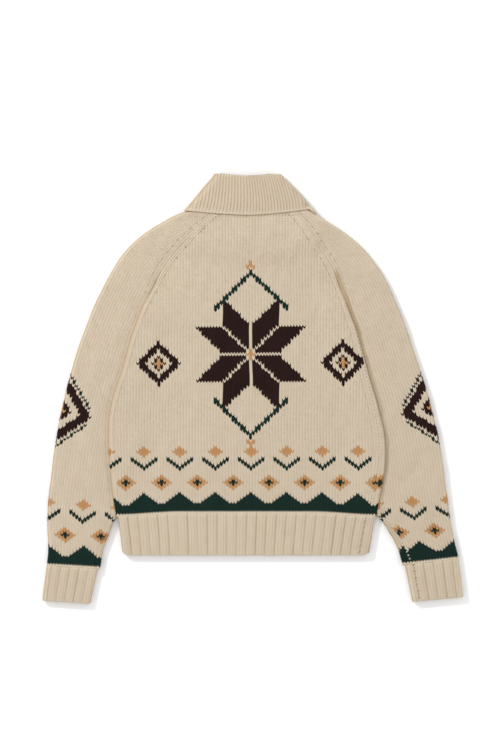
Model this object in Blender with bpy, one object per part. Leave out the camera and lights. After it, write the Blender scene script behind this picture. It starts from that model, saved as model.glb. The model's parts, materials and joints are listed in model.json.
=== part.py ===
"""A heavy knitted cardigan, lying flat and face down: raglan sleeves beside the body, folded collar.

Metres. +X is the wearer's right, +Y runs from the hem to the neck, +Z is up, and the garment
rests on z = 0. Every piece is a thick knitted wall, made from a grid of points on the middle of
its cloth: columns run round the garment, rows run from the hem to the neck.
"""

from collections import namedtuple
from math import cos, pi, radians, sin

import bmesh
import bpy
import numpy as np
from mathutils import Matrix

# Cloth
wall_thickness = 0.004
rib_core = 0.0036           # wall of the ribbed pieces without their ribs
rib_height = 0.0011
collar_rib_height = 0.0009
seam_gap = 0.0003
side_gap = 0.0012           # between the body's sides and the sleeves

# Heights of the middle of the cloth
low_layer = 0.002           # fronts and undersides of the sleeves
high_layer = 0.0098         # back and tops of the sleeves
rib_low = rib_core / 2 + rib_height
rib_high = 0.0097
collar_middle = 0.0113      # half way up the folded collar
fall_half_height = 0.0084   # from there to the collar's outer layer
stand_half_height = 0.0038  # from there to the collar's inner layer
low_lift = 0.0055           # the collar's front raises the cloth above it
high_lift = 0.0053

# Sleeves tucked under the body's sides
tuck = 0.012                # how far a sleeve's inner edge lies under the body
tucked_radius = 0.0023      # roll of the sleeve's flattened inner edge
side_lift = 0.0092          # how far the body's sides are raised by the sleeves
tuck_length = 0.060         # run of the seams over which the tuck starts
lift_flat = 0.014           # raised all the way this near to the body's edge
lift_run = 0.070            # and sloping down over this width
tuck_end_y = (-0.150, -0.226)
tucked_blend = 0.025        # width over which a tucked sleeve grows to its full height
roll_start = 0.048          # the raglan seam sinks between body and sleeve over this length

body_radius = (high_layer - low_layer) / 2  # rolled sides of the body and the sleeves

# Ribs
hem_pitch = 0.0172
cuff_pitch = 0.0164
collar_ribs = 27            # from the back's middle to a front end
cuff_radius = 0.0032        # rolled sides of the cuffs
corner_rise = 0.007         # the hem's lower corners are rounded by this much
corner_run = 0.016

# Front opening
band_half_width = 0.018
band_thickness = 0.0034
inner_band_level = 0.0054
button_radius = 0.0105
button_thickness = 0.0022
button_count = 6
button_sides = 16
button_bevel = 0.0006
front_rise_run = 0.035      # the right front rises to the inner band over this width

wool_cream = (0.63, 0.53, 0.40)
horn_brown = (0.10, 0.055, 0.03)

# The garment's plan, from the neck down: the line where body and sleeve meet, then the sleeve's
# outer fold, first on the wearer's left (-X) and then on the right.
Row = namedtuple("Row", "name left_x left_y left_outer_x left_outer_y "
                        "right_x right_y right_outer_x right_outer_y")
plan = [
    Row("neck", -0.067, 0.321, -0.089, 0.335, 0.070, 0.325, 0.083, 0.337),
    Row("shoulder", -0.098, 0.298, -0.135, 0.324, 0.098, 0.296, 0.124, 0.317),
    Row("upper raglan", -0.128, 0.270, -0.178, 0.302, 0.120, 0.265, 0.165, 0.292),
    Row("middle raglan", -0.152, 0.242, -0.216, 0.275, 0.140, 0.236, 0.200, 0.264),
    Row("lower raglan", -0.172, 0.212, -0.246, 0.242, 0.152, 0.213, 0.226, 0.232),
    Row("underarm", -0.187, 0.184, -0.269, 0.203, 0.160, 0.190, 0.245, 0.203),
    Row("chest", -0.209, 0.140, -0.290, 0.163, 0.177, 0.144, 0.262, 0.165),
    Row("upper arm", -0.225, 0.092, -0.308, 0.118, 0.195, 0.096, 0.282, 0.119),
    Row("elbow", -0.242, 0.033, -0.329, 0.058, 0.211, 0.035, 0.302, 0.058),
    Row("waist", -0.260, -0.020, -0.344, 0.005, 0.227, -0.019, 0.319, 0.005),
    Row("forearm", -0.266, -0.069, -0.356, -0.048, 0.240, -0.067, 0.333, -0.044),
    Row("low waist", -0.266, -0.117, -0.365, -0.097, 0.245, -0.115, 0.345, -0.096),
    Row("above hem", -0.262, -0.169, -0.373, -0.152, 0.240, -0.169, 0.354, -0.159),
    Row("hem", -0.2525, -0.2326, -0.380, -0.222, 0.2276, -0.2326, 0.363, -0.222),
]
# The sleeves go on below the body: inner edge, then outer fold, down to the cuffs.
Wrist = namedtuple("Wrist", "name left_x left_y left_outer_x left_outer_y "
                            "right_x right_y right_outer_x right_outer_y")
wrists = [
    Wrist("hem", -0.2550, -0.231, -0.380, -0.222, 0.2320, -0.229, 0.363, -0.222),
    Wrist("wrist", -0.269, -0.267, -0.3805, -0.261, 0.251, -0.258, 0.367, -0.251),
    Wrist("above cuff", -0.280, -0.297, -0.3795, -0.294, 0.269, -0.292, 0.3735, -0.287),
    Wrist("cuff", -0.286, -0.333, -0.382, -0.327, 0.280, -0.326, 0.3805, -0.314),
    Wrist("cuff end", -0.300, -0.3980, -0.3903, -0.3920, 0.2945, -0.3945, 0.3903, -0.3850),
]
underarm_row = 5

# The hem rib's two ends, from its seam down.
Hem = namedtuple("Hem", "name left_x left_y right_x right_y")
hem_ends = [
    Hem("seam", -0.2515, -0.2335, 0.2270, -0.2335),
    Hem("middle", -0.2465, -0.2700, 0.2215, -0.2700),
    Hem("edge", -0.2425, -0.3080, 0.2160, -0.3080),
]

# How far up from the body's side the right side seam has been turned on to the back.
Turn = namedtuple("Turn", "y amount")
side_turn = [Turn(-0.31, 0.0185), Turn(-0.24, 0.0170), Turn(-0.11, 0.0130), Turn(0.10, 0.0020),
             Turn(0.16, 0.0), Turn(0.40, 0.0)]

# Soft folds pressed into the upper layer: middle, direction of the fold, half length and width.
Fold = namedtuple("Fold", "x y degrees half_length half_width depth")
folds = [
    Fold(-0.158, 0.195, 72, 0.075, 0.016, 0.0016),
    Fold(-0.135, 0.020, 100, 0.080, 0.020, 0.0018),
    Fold(-0.178, -0.100, 62, 0.080, 0.018, 0.0016),
    Fold(0.120, 0.150, 110, 0.070, 0.016, 0.0010),
    Fold(0.150, -0.060, 80, 0.090, 0.020, 0.0010),
    Fold(0.285, -0.165, 52, 0.045, 0.009, 0.0016),
    Fold(-0.300, -0.205, 125, 0.050, 0.010, 0.0014),
    Fold(-0.262, 0.130, 62, 0.060, 0.012, 0.0010),
    Fold(0.262, 0.060, 115, 0.060, 0.012, 0.0010),
    Fold(-0.330, -0.060, 100, 0.070, 0.012, 0.0009),
]

# The neck line: the back neck hangs a little between the raglan seams, the front neck is hollow.
neck_dip = 0.0065
front_neck_y = 0.2730

# The collar, level by level from its outer edge over the fold to the neck seam. Each level is a
# flattened loop: half the width of its flat part, its middle, half its height, its place along Y
# at the back's middle, the two sides and the front's middle, how far the right side hangs down as it
# turns to the front, and half the opening between its front ends, which spread apart towards the
# outer edge.
Level = namedtuple("Level", "name flat middle_x half_height back_y left_y right_y front_y drop opening")
fold_bulge = (fall_half_height - stand_half_height) / 2
bulge_y = 0.87 * fold_bulge
collar_levels = [
    Level("edge", 0.1085, -0.0075, fall_half_height, 0.3208, 0.3294, 0.3325, 0.2680, 0.0045, 0.0800),
    Level("fall low", 0.0910, -0.0070, fall_half_height, 0.3430, 0.3505, 0.3510, 0.2930, 0.0010, 0.0540),
    Level("fall high", 0.0720, -0.0078, fall_half_height, 0.3690, 0.3730, 0.3725, 0.3180, 0.0, 0.0270),
    Level("fold 1", 0.0540, -0.0095, fall_half_height, 0.3895, 0.3928, 0.3925, 0.3400, 0.0, 0.0020),
    Level("fold 2", 0.0490, -0.0110, fall_half_height - 0.5 * fold_bulge,
          0.3895 + bulge_y, 0.3932 + bulge_y, 0.3932 + bulge_y, 0.3400 + bulge_y, 0.0, 0.0010),
    Level("fold 3", 0.0490, -0.0110, stand_half_height + 0.5 * fold_bulge,
          0.3895 + bulge_y, 0.3932 + bulge_y, 0.3932 + bulge_y, 0.3400 + bulge_y, 0.0, 0.0010),
    Level("stand high", 0.0540, -0.0090, stand_half_height, 0.3895, 0.3928, 0.3925, 0.3400, 0.0, 0.0010),
    Level("neck seam", 0.0800, -0.0030, stand_half_height, 0.0, 0.0, 0.0, 0.0, 0.0, 0.0010),
]
cap_clearance = 0.0018      # between the sleeves' rolled ends and the collar's sides
neck_seam_gap = 0.0009      # the collar's rim and the panels' rims slope differently


# ---------------------------------------------------------------- helpers

def smooth(value):
    value = np.clip(value, 0.0, 1.0)
    return value * value * (3 - 2 * value)


def spline(points, places):
    """Points of a Catmull-Rom curve through the given rows, at the given row positions."""
    points = np.asarray(points, float)
    last = len(points) - 1
    found = []
    for place in places:
        index = min(int(place), last - 1)
        t = place - index
        before = points[index - 1] if index else 2 * points[0] - points[1]
        start, end = points[index], points[index + 1]
        after = points[index + 2] if index + 2 <= last else 2 * points[last] - points[last - 1]
        found.append(0.5 * (2 * start + (end - before) * t
                            + (2 * before - 5 * start + 4 * end - after) * t ** 2
                            + (3 * start - before - 3 * end + after) * t ** 3))
    return np.array(found)


def unit(vector):
    return vector / np.linalg.norm(vector, axis=-1, keepdims=True)


def fold_depth(x, y):
    """How far the soft folds press the upper layer down at a place."""
    total = 0.0
    for fold in folds:
        along = cos(radians(fold.degrees)), sin(radians(fold.degrees))
        run = (x - fold.x) * along[0] + (y - fold.y) * along[1]
        across = (y - fold.y) * along[0] - (x - fold.x) * along[1]
        total += fold.depth * np.exp(-(across / fold.half_width) ** 2 - (run / fold.half_length) ** 2)
    return total


def collar_lift(x, y):
    """1 where the collar's front lies under the garment, 0 where nothing does."""
    reach = (abs((x + 0.0070) / 0.128) ** 2.6 + abs((y - 0.338) / 0.080) ** 2.6) ** (1 / 2.6)
    return float(smooth((1.45 - reach) / 0.45))


# ---------------------------------------------------------------- plan lines

body_places = np.concatenate([np.linspace(0, 6, 13), np.linspace(6, 13, 11)[1:]])
body_table = np.array([row[1:] for row in plan])
body_rows = spline(body_table, body_places)[::-1]
wrist_rows = spline(np.array([row[1:] for row in wrists]), (0.5, 1.0, 1.5, 2.0, 2.5, 3.0))[::-1]
hem_row = np.array([wrists[0][1:]])
sleeve_rows = np.concatenate([wrist_rows, hem_row, body_rows[1:]])


def measure_rows(rows, side):
    """Edge line of one side, its direction, and each row's distance up from the underarm."""
    line = rows[:, 0:2] if side < 0 else rows[:, 4:6]
    tangent = unit(np.gradient(line, axis=0))
    underarm = body_table[underarm_row, 0:2] if side < 0 else body_table[underarm_row, 4:6]
    above = line[:, 1] > underarm[1]
    distance = np.linalg.norm(line - underarm, axis=1) * np.where(above, 1, -1)
    return line, tangent, distance


def roll_angle(distance):
    """How far round its roll the edge has turned: none along the raglan, a right angle below it."""
    return pi / 2 * smooth(1 - distance / roll_start)


def tucked(distance, y):
    """0 where body and sleeve lie side by side, 1 where the sleeve is fully under the body."""
    return (smooth(-distance / tuck_length)
            * smooth((y - tuck_end_y[1]) / (tuck_end_y[0] - tuck_end_y[1])))


def tuck_shape(amount):
    """Sleeve's inner roll radius, the body's lift and the sleeve's reach under the body."""
    radius = body_radius + (tucked_radius - body_radius) * amount
    lift = side_lift * amount
    body_half = body_radius + wall_thickness / 2
    sleeve_half = radius + wall_thickness / 2
    rise = lift + body_half - sleeve_half
    apart = body_half + sleeve_half + side_gap
    reach = body_half + sleeve_half - max(apart ** 2 - rise ** 2, 0.0) ** 0.5
    return radius, lift, min(reach, tuck)


# ---------------------------------------------------------------- flattened tubes

Tube = namedtuple("Tube", "start along near flat near_radius far_radius low high lift_near lift_far width")


def quarter(radius):
    return radius * pi / 2


def tube_length(tube):
    """Way round the tube from its near side over the top to its far side, and the whole way."""
    top = quarter(tube.near_radius) + tube.flat + quarter(tube.far_radius)
    return top, 2 * top


def tube_point(tube, way):
    """Point and outward direction in the middle of the cloth, the given way round the tube."""
    near, far = tube.near_radius, tube.far_radius
    top, whole = tube_length(tube)
    way = way % whole
    under = way > top
    step = whole - way if under else way
    if step < quarter(near):
        angle = step / near
        across, rise, turn = near * (1 - cos(angle)), near * sin(angle), (-cos(angle), sin(angle))
        radius = near
    elif step <= quarter(near) + tube.flat:
        across, rise, turn = near + step - quarter(near), None, (0.0, 1.0)
        radius = None
    else:
        angle = (step - quarter(near) - tube.flat) / far
        across, rise = near + tube.flat + far * sin(angle), far * cos(angle)
        turn, radius = (sin(angle), cos(angle)), far
    if radius is None:
        blend = float(smooth((across - lift_flat) / tucked_blend)) if near != far else 1.0
        radius = near + (far - near) * blend
        rise = radius
    height = tube.low + radius + (-rise if under else rise)
    turn = (turn[0], -turn[1] if under else turn[1])
    plan_point = tube.start + tube.along * (tube.near + across)
    near_distance = tube.near + across
    far_distance = tube.width - near_distance
    height += tube.lift_near * float(smooth(1 - (near_distance - lift_flat) / lift_run))
    height += tube.lift_far * float(smooth(1 - (far_distance - lift_flat) / lift_run))
    outward = np.array([*(tube.along * turn[0]), turn[1]])
    return np.array([*plan_point, height]), outward


def settle(middle, outward):
    """Raises the cloth that lies over the collar's front, and presses the soft folds into it."""
    upper = 0.5 + 0.5 * outward[..., 2]
    for place, share in zip(middle.reshape(-1, 3), upper.reshape(-1)):
        x, y = place[:2]
        place[2] += collar_lift(x, y) * (low_lift + (high_lift - low_lift) * share)
        place[2] -= share * fold_depth(x, y)


def crossing(along, tangent):
    """Sine of the angle between a row and the seam line it meets."""
    return abs(along[0] * tangent[1] - along[1] * tangent[0])


def edge_inset(angle, along, tangent):
    """Distance along a row from the seam line to the middle of the cloth's edge."""
    return (seam_gap / 2 + wall_thickness / 2 * sin(angle)) / crossing(along, tangent)


def body_tubes():
    left_line, left_tangent, left_up = measure_rows(body_rows, -1)
    right_line, right_tangent, right_up = measure_rows(body_rows, 1)
    tubes, angles = [], []
    for k in range(len(body_rows)):
        along = unit(right_line[k] - left_line[k])
        width = np.linalg.norm(right_line[k] - left_line[k])
        left, right = roll_angle(left_up[k]), roll_angle(right_up[k])
        near = edge_inset(left, along, left_tangent[k]) - body_radius * (1 - sin(left))
        far = edge_inset(right, along, right_tangent[k]) - body_radius * (1 - sin(right))
        _, left_lift, _ = tuck_shape(tucked(left_up[k], left_line[k, 1]))
        _, right_lift, _ = tuck_shape(tucked(right_up[k], right_line[k, 1]))
        flat = width - near - far - 2 * body_radius
        tubes.append(Tube(left_line[k], along, near, flat, body_radius, body_radius,
                          low_layer, high_layer, left_lift, right_lift, width))
        angles.append((left, right))
    return tubes, angles


def sleeve_tubes(side):
    line, tangent, up = measure_rows(sleeve_rows, side)
    outer = sleeve_rows[:, 2:4] if side < 0 else sleeve_rows[:, 6:8]
    tubes, angles = [], []
    for k in range(len(sleeve_rows)):
        along = unit(outer[k] - line[k])
        width = np.linalg.norm(outer[k] - line[k])
        angle = roll_angle(up[k])
        radius, _, reach = tuck_shape(tucked(up[k], line[k, 1]))
        if up[k] < 0:
            near = (wall_thickness / 2 - reach) / crossing(along, tangent[k])
        else:
            near = edge_inset(angle, along, tangent[k]) - radius * (1 - sin(angle))
        flat = width - near - radius - body_radius - wall_thickness / 2
        tubes.append(Tube(line[k], along, near, flat, radius, body_radius, low_layer, high_layer,
                          0.0, 0.0, width))
        angles.append(angle)
    return tubes, angles


# ---------------------------------------------------------------- meshes

def material(name, colour, roughness):
    made = bpy.data.materials.new(name)
    made.use_nodes = True
    shader = made.node_tree.nodes["Principled BSDF"]
    shader.inputs["Base Color"].default_value = (*colour, 1)
    shader.inputs["Roughness"].default_value = roughness
    shader.inputs["Metallic"].default_value = 0.0
    return made


def add_object(name, bm, colour, roughness):
    bmesh.ops.recalc_face_normals(bm, faces=bm.faces)
    mesh = bpy.data.meshes.new(name)
    bm.to_mesh(mesh)
    bm.free()
    mesh.shade_smooth()
    mesh.set_sharp_from_angle(angle=radians(50))
    mesh.materials.append(material(name, colour, roughness))
    made = bpy.data.objects.new(name, mesh)
    bpy.context.scene.collection.objects.link(made)
    return made


def wall(name, middle, outward, thickness, relief=None):
    """A closed wall from the grid of its middle and the way out at each point."""
    rows, columns = middle.shape[:2]
    down = unit(np.gradient(middle, axis=0))
    normal = unit(outward - down * np.sum(outward * down, axis=2, keepdims=True))
    raised = np.zeros((rows, columns)) if relief is None else relief
    outer = middle + normal * (thickness / 2 + raised)[..., None]
    inner = middle - normal * thickness / 2
    bm = bmesh.new()
    sheets = [[[bm.verts.new(point) for point in row] for row in sheet] for sheet in (outer, inner)]
    for i in range(rows - 1):
        for j in range(columns - 1):
            for sheet in sheets:
                bm.faces.new((sheet[i][j], sheet[i][j + 1], sheet[i + 1][j + 1], sheet[i + 1][j]))
    border = ([(0, j) for j in range(columns)] + [(i, columns - 1) for i in range(1, rows)]
              + [(rows - 1, j) for j in range(columns - 2, -1, -1)]
              + [(i, 0) for i in range(rows - 2, 0, -1)])
    for (i, j), (m, n) in zip(border, border[1:] + border[:1]):
        bm.faces.new((sheets[0][i][j], sheets[1][i][j], sheets[1][m][n], sheets[0][m][n]))
    return add_object(name, bm, wool_cream, 0.95)


def panel(name, tubes, ways, thickness=wall_thickness, relief=None, shift=None):
    """A wall through the given ways round each row's tube."""
    middle, outward = [], []
    for tube, row in zip(tubes, ways):
        made = [tube_point(tube, way) for way in row]
        middle.append([point for point, _ in made])
        outward.append([way_out for _, way_out in made])
    middle, outward = np.array(middle), np.array(outward)
    if shift is not None:
        middle = shift(middle)
    settle(middle, outward)
    return wall(name, middle, outward, thickness, relief)


def edged(start, end, offsets, count):
    """Ways from start to end, close together near both ends and even between."""
    direction = 1 if end > start else -1
    first = [start + direction * offset for offset in offsets]
    last = [end - direction * offset for offset in reversed(offsets)]
    return first + list(np.linspace(first[-1], last[0], count + 1)[1:-1]) + last


roll_shares = (0.0, 1 / 3, 2 / 3, 1.0)
roll_offsets = [quarter(body_radius) * share for share in roll_shares]


def turn_at(y):
    return np.interp(y, [row.y for row in side_turn], [row.amount for row in side_turn])


def neck_drop(x, front):
    """How far the neck edge lies below a straight line between the two raglan seams."""
    neck = plan[0]
    between = (x - neck.left_x) / (neck.right_x - neck.left_x)
    straight = neck.left_y + (neck.right_y - neck.left_y) * between
    if not front:
        return straight, neck_dip * max(1 - (2 * between - 1) ** 4, 0.0)
    side_x = neck.left_x if x < 0 else neck.right_x
    return straight, (straight - front_neck_y) * max(1 - (x / side_x) ** 2, 0.0)


def hollow_neck(middle, front, first_row):
    """Bends the rows above the given one down to the neck edge."""
    rows = middle.shape[0]
    for k in range(first_row, rows):
        share = float(smooth((k - first_row) / (rows - 1 - first_row)))
        for place in middle[k]:
            place[1] -= neck_drop(place[0], front)[1] * share


# ---------------------------------------------------------------- body

def back_ways(tubes, angles):
    ways = []
    for tube, (left, right) in zip(tubes, angles):
        top, _ = tube_length(tube)
        radius = tube.near_radius
        start = max(radius * (pi / 2 - left), seam_gap / 2)
        turned = turn_at(tube.start[1]) if right > 1.5 else 0.0
        end = top - max(radius * (pi / 2 - right) + turned, seam_gap / 2)
        ways.append(edged(start, end, roll_offsets, 15))
    return ways


def make_back(tubes, angles):
    def shift(middle):
        hollow_neck(middle, False, len(tubes) - 5)
        return middle

    panel("back", tubes, back_ways(tubes, angles), shift=shift)


def band_way(tube, x):
    """Way round the body, along its underside, to the given X."""
    top, whole = tube_length(tube)
    across = (x - tube.start[0]) / tube.along[0] - tube.near
    return whole - (across - tube.near_radius + quarter(tube.near_radius))


def front_shift(side):
    """Hollows the neck edge, and raises the right front to the inner band."""
    def shift(middle):
        hollow_neck(middle, True, int(0.35 * middle.shape[0]))
        if side > 0:
            rise = smooth(1 - (middle[..., 0] - band_half_width) / front_rise_run)
            middle[..., 2] += (inner_band_level - low_layer) * rise
        return middle
    return shift


def make_fronts(tubes, angles):
    ways = []
    for tube, (left, _) in zip(tubes, angles):
        _, whole = tube_length(tube)
        start = whole - max(tube.near_radius * (pi / 2 - left), seam_gap / 2)
        end = band_way(tube, -band_half_width - seam_gap)
        first = [start - offset for offset in roll_offsets]
        ways.append(first + list(np.linspace(first[-1], end, 8)[1:]))
    panel("front_left", tubes, ways, shift=front_shift(-1))
    ways = []
    for tube, (_, right) in zip(tubes, angles):
        top, _ = tube_length(tube)
        radius = tube.near_radius
        turned = turn_at(tube.start[1]) if right > 1.5 else 0.0
        if right > 1.5:
            start = top - turned + seam_gap / 2 + (seam_gap / 2 if turned else 0.0)
        else:
            start = top + radius * (pi / 2 - right)
        roll_end = top + quarter(radius) + 0.002
        first = list(np.linspace(start, max(roll_end, start + 0.0065), 7))
        ways.append(first + list(np.linspace(first[-1], band_way(tube, band_half_width + seam_gap), 8)[1:]))
    panel("front_right", tubes, ways, shift=front_shift(1))


# ---------------------------------------------------------------- sleeves

def make_sleeve(name, side):
    tubes, angles = sleeve_tubes(side)
    ways = []
    for tube, angle in zip(tubes, angles):
        top, whole = tube_length(tube)
        start = max(tube.near_radius * (pi / 2 - angle), seam_gap / 2)
        near_quarter = quarter(tube.near_radius)
        first = [start + near_quarter * share for share in roll_shares]
        outer = list(np.linspace(top - quarter(tube.far_radius), top + quarter(tube.far_radius), 6))
        upper = list(np.linspace(first[-1], outer[0], 5)[1:-1])
        last = [whole - way for way in reversed(first)]
        lower = list(np.linspace(outer[-1], last[0], 4)[1:-1])
        ways.append(first + upper + outer + lower + last)
    panel(name, tubes, ways)


# ---------------------------------------------------------------- ribbed hem and cuffs

def rib_profile(length, pitch):
    """Places along a ribbed edge, three to a rib, and their heights from 0 to 1."""
    count = max(int(round(length / pitch)), 1)
    places, heights = [], []
    for rib in range(count):
        for phase, height in ((0.0, 0.0), (0.28, 1.0), (0.72, 1.0)):
            places.append((rib + phase) / count)
            heights.append(height)
    return np.array(places + [1.0]), np.array(heights + [0.0])


def with_rolls(places, heights, tube, start, end):
    """Adds places round the folded sides, so that the folds stay round."""
    top, whole = tube_length(tube)
    turns = np.array([-1.0, -0.5, 0.0, 0.5, 1.0]) * quarter(tube.near_radius)
    rolls = np.concatenate([centre + turns for centre in (0.0, top, whole)])
    extra = (rolls - start) / (end - start)
    clear = 0.0008 / abs(end - start)
    extra = [share for share in extra if 0 < share < 1 and np.min(abs(places - share)) > clear]
    joined = np.sort(np.concatenate([places, extra]))
    return joined, np.interp(joined, places, heights)


def ribbed(name, tubes, starts, ends, pitch, shift=None):
    places, heights = rib_profile(abs(ends[0] - starts[0]), pitch)
    places, heights = with_rolls(places, heights, tubes[0], starts[0], ends[0])
    ways = [start + (end - start) * places for start, end in zip(starts, ends)]
    relief = np.tile(heights * rib_height, (len(tubes), 1))
    panel(name, tubes, ways, rib_core, relief, shift)


def flat_tube(start, end, radius):
    along = unit(end - start)
    width = np.linalg.norm(end - start)
    inset = rib_core / 2 + rib_height
    return Tube(start, along, inset, width - 2 * inset - 2 * radius, radius, radius,
                rib_low, rib_low + 2 * radius, 0.0, 0.0, width)


def make_hem():
    radius = (rib_high - rib_low) / 2
    ends = spline(np.array([row[1:] for row in hem_ends]), (0, 0.67, 1.33, 2))[::-1]
    tubes = [flat_tube(row[0:2], row[2:4], radius) for row in ends]
    tops = [tube_length(tube)[0] for tube in tubes]
    wholes = [tube_length(tube)[1] for tube in tubes]
    turns = [turn_at(row[1]) for row in ends]

    def rounded(middle):
        """Rounds the lower corners."""
        for k, share in ((0, 1.0), (1, 0.3)):
            from_side = np.minimum(middle[k, :, 0] - ends[k][0], ends[k][2] - middle[k, :, 0])
            middle[k, :, 1] += corner_rise * share * np.clip(1 - from_side / corner_run, 0, 1) ** 2
        return middle

    def raised(middle):
        """Rounds the corner and raises the right front's end to the inner band."""
        middle = rounded(middle)
        rise = smooth(1 - (middle[..., 0] - band_half_width) / front_rise_run)
        upper = middle[..., 2] > rib_high - 0.001
        middle[..., 2] += np.where(upper, 0.0, (inner_band_level - rib_low) * rise)
        return middle

    ribbed("hem_rib_back", tubes, [seam_gap / 2] * 4,
           [top - turn for top, turn in zip(tops, turns)], hem_pitch, rounded)
    ribbed("hem_rib_front_left", tubes, [whole - seam_gap / 2 for whole in wholes],
           [band_way(tube, -band_half_width - seam_gap) for tube in tubes], hem_pitch, rounded)
    ribbed("hem_rib_front_right", tubes, [top - turn + seam_gap for top, turn in zip(tops, turns)],
           [band_way(tube, band_half_width + seam_gap) for tube in tubes], hem_pitch, raised)


def make_cuff(name, side):
    top_row, end_row = np.array(wrists[3][1:]), np.array(wrists[4][1:])
    half = 0 if side < 0 else 4
    rows = []
    for share in (0.0, 0.33, 0.67, 1.0):
        row = top_row + (end_row - top_row) * share
        rows.append(row[half:half + 4])
    down = unit(rows[-1][0:2] - rows[0][0:2])
    rows[0] = rows[0] + np.tile(down, 2) * seam_gap
    tubes = [flat_tube(row[0:2], row[2:4], cuff_radius) for row in rows[::-1]]
    wholes = [tube_length(tube)[1] for tube in tubes]
    ribbed(name, tubes, [seam_gap / 2] * 4, [whole - seam_gap / 2 for whole in wholes], cuff_pitch)


# ---------------------------------------------------------------- collar

def neck_edge_y(x, front):
    """The neck seam seen from above, for the collar's lowest level."""
    neck = plan[0]
    if x < 0:
        side_x, side_y = neck.left_x, neck.left_y
        outer_x, outer_y = neck.left_outer_x, neck.left_outer_y
    else:
        side_x, side_y = neck.right_x, neck.right_y
        outer_x, outer_y = neck.right_outer_x, neck.right_outer_y
    if abs(x) < abs(side_x):
        straight, drop = neck_drop(x, front)
        return straight - drop
    share = min((abs(x) - abs(side_x)) / (abs(outer_x) - abs(side_x)), 1.0)
    return side_y + (outer_y - side_y + cap_clearance) * share


def collar_place(level, share, side):
    """A point of a collar level, the given share of the way from the back's middle to a front end."""
    flat, height = level.flat, level.half_height
    roll = pi * height
    front = flat + side * level.middle_x - level.opening
    way = share * (flat + roll + front)
    side_y, drop = (level.left_y, 0.0) if side < 0 else (level.right_y, level.drop)
    if way <= flat:
        across, rise = way, height
        y = level.back_y + (side_y - level.back_y) * (way / flat) ** 1.5
    elif way <= flat + roll:
        angle = (way - flat) / height
        across, rise = flat + height * sin(angle), height * cos(angle)
        y = side_y - drop * sin(angle)
    else:
        across, rise = 2 * flat + roll - way, -height
        y = level.front_y + (side_y - level.front_y) * abs(across / flat) ** 2.2
    x = level.middle_x + side * across
    if level.name == "neck seam":
        y = neck_edge_y(x, rise <= -height) + neck_seam_gap
    return np.array([x, y, collar_middle + rise])


def collar_row(level):
    """One level of the collar, from the left front end round the back to the right front end."""
    shares = np.linspace(0, 1, 2 * collar_ribs + 1)
    left = [collar_place(level, share, -1) for share in shares[::-1]]
    right = [collar_place(level, share, 1) for share in shares[1:]]
    return left + right


def make_collar():
    middle = np.array([collar_row(level) for level in collar_levels])
    columns = middle.shape[1]
    ribs = np.tile((np.arange(columns) % 2) * collar_rib_height, (len(collar_levels), 1))
    outward = np.cross(np.gradient(middle, axis=1), np.gradient(middle, axis=0))
    wall("collar", middle, unit(outward), wall_thickness, ribs)


# ---------------------------------------------------------------- bands and buttons

def make_band(name, level):
    xs = np.linspace(-band_half_width, band_half_width, 3)
    ys = np.concatenate([np.linspace(-0.3080, 0.190, 8), np.linspace(0.203, front_neck_y - 0.0010, 8)])
    grid = np.zeros((len(ys), len(xs), 3))
    for i, y in enumerate(ys):
        for j, x in enumerate(xs):
            grid[i, j] = x, y, level + low_lift * collar_lift(x, y)
    outward = np.zeros_like(grid)
    outward[..., 2] = -1.0
    return wall(name, grid, outward, band_thickness)


def button_places():
    return np.linspace(-0.285, 0.215, button_count)


def disc(bm, radius, low, high, centre, sides):
    place = Matrix.Translation((*centre, (low + high) / 2))
    bmesh.ops.create_cone(bm, cap_ends=True, segments=sides, radius1=radius, radius2=radius,
                          depth=high - low, matrix=place)


def make_buttons(band):
    """Buttons pressed into the outer band, their faces level with it."""
    for number, y in enumerate(button_places(), 1):
        bm = bmesh.new()
        disc(bm, button_radius, 0.0, button_thickness, (0.0, y), button_sides)
        edges = [edge for edge in bm.edges if abs(edge.verts[0].co.z - edge.verts[1].co.z) < 1e-6]
        bmesh.ops.bevel(bm, geom=edges, offset=button_bevel, segments=1, affect="EDGES")
        add_object(f"button_{number}", bm, horn_brown, 0.35)
        bm = bmesh.new()
        disc(bm, button_radius + seam_gap, -0.002, button_thickness + seam_gap, (0.0, y), button_sides)
        cutter = add_object(f"button_recess_{number}", bm, horn_brown, 0.5)
        cutter.hide_render = True
        cutter.display_type = "WIRE"
        cut = band.modifiers.new(f"recess_{number}", "BOOLEAN")
        cut.operation = "DIFFERENCE"
        cut.solver = "EXACT"
        cut.object = cutter


# ---------------------------------------------------------------- build

for old in list(bpy.data.objects):
    bpy.data.objects.remove(old, do_unlink=True)

tubes, angles = body_tubes()
make_back(tubes, angles)
make_fronts(tubes, angles)
make_sleeve("sleeve_left", -1)
make_sleeve("sleeve_right", 1)
make_hem()
make_cuff("cuff_left", -1)
make_cuff("cuff_right", 1)
make_collar()
outer_band = make_band("band_left", band_thickness / 2)
make_band("band_right", inner_band_level)
make_buttons(outer_band)
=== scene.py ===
import json
from math import cos, pi, radians, sin

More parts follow.
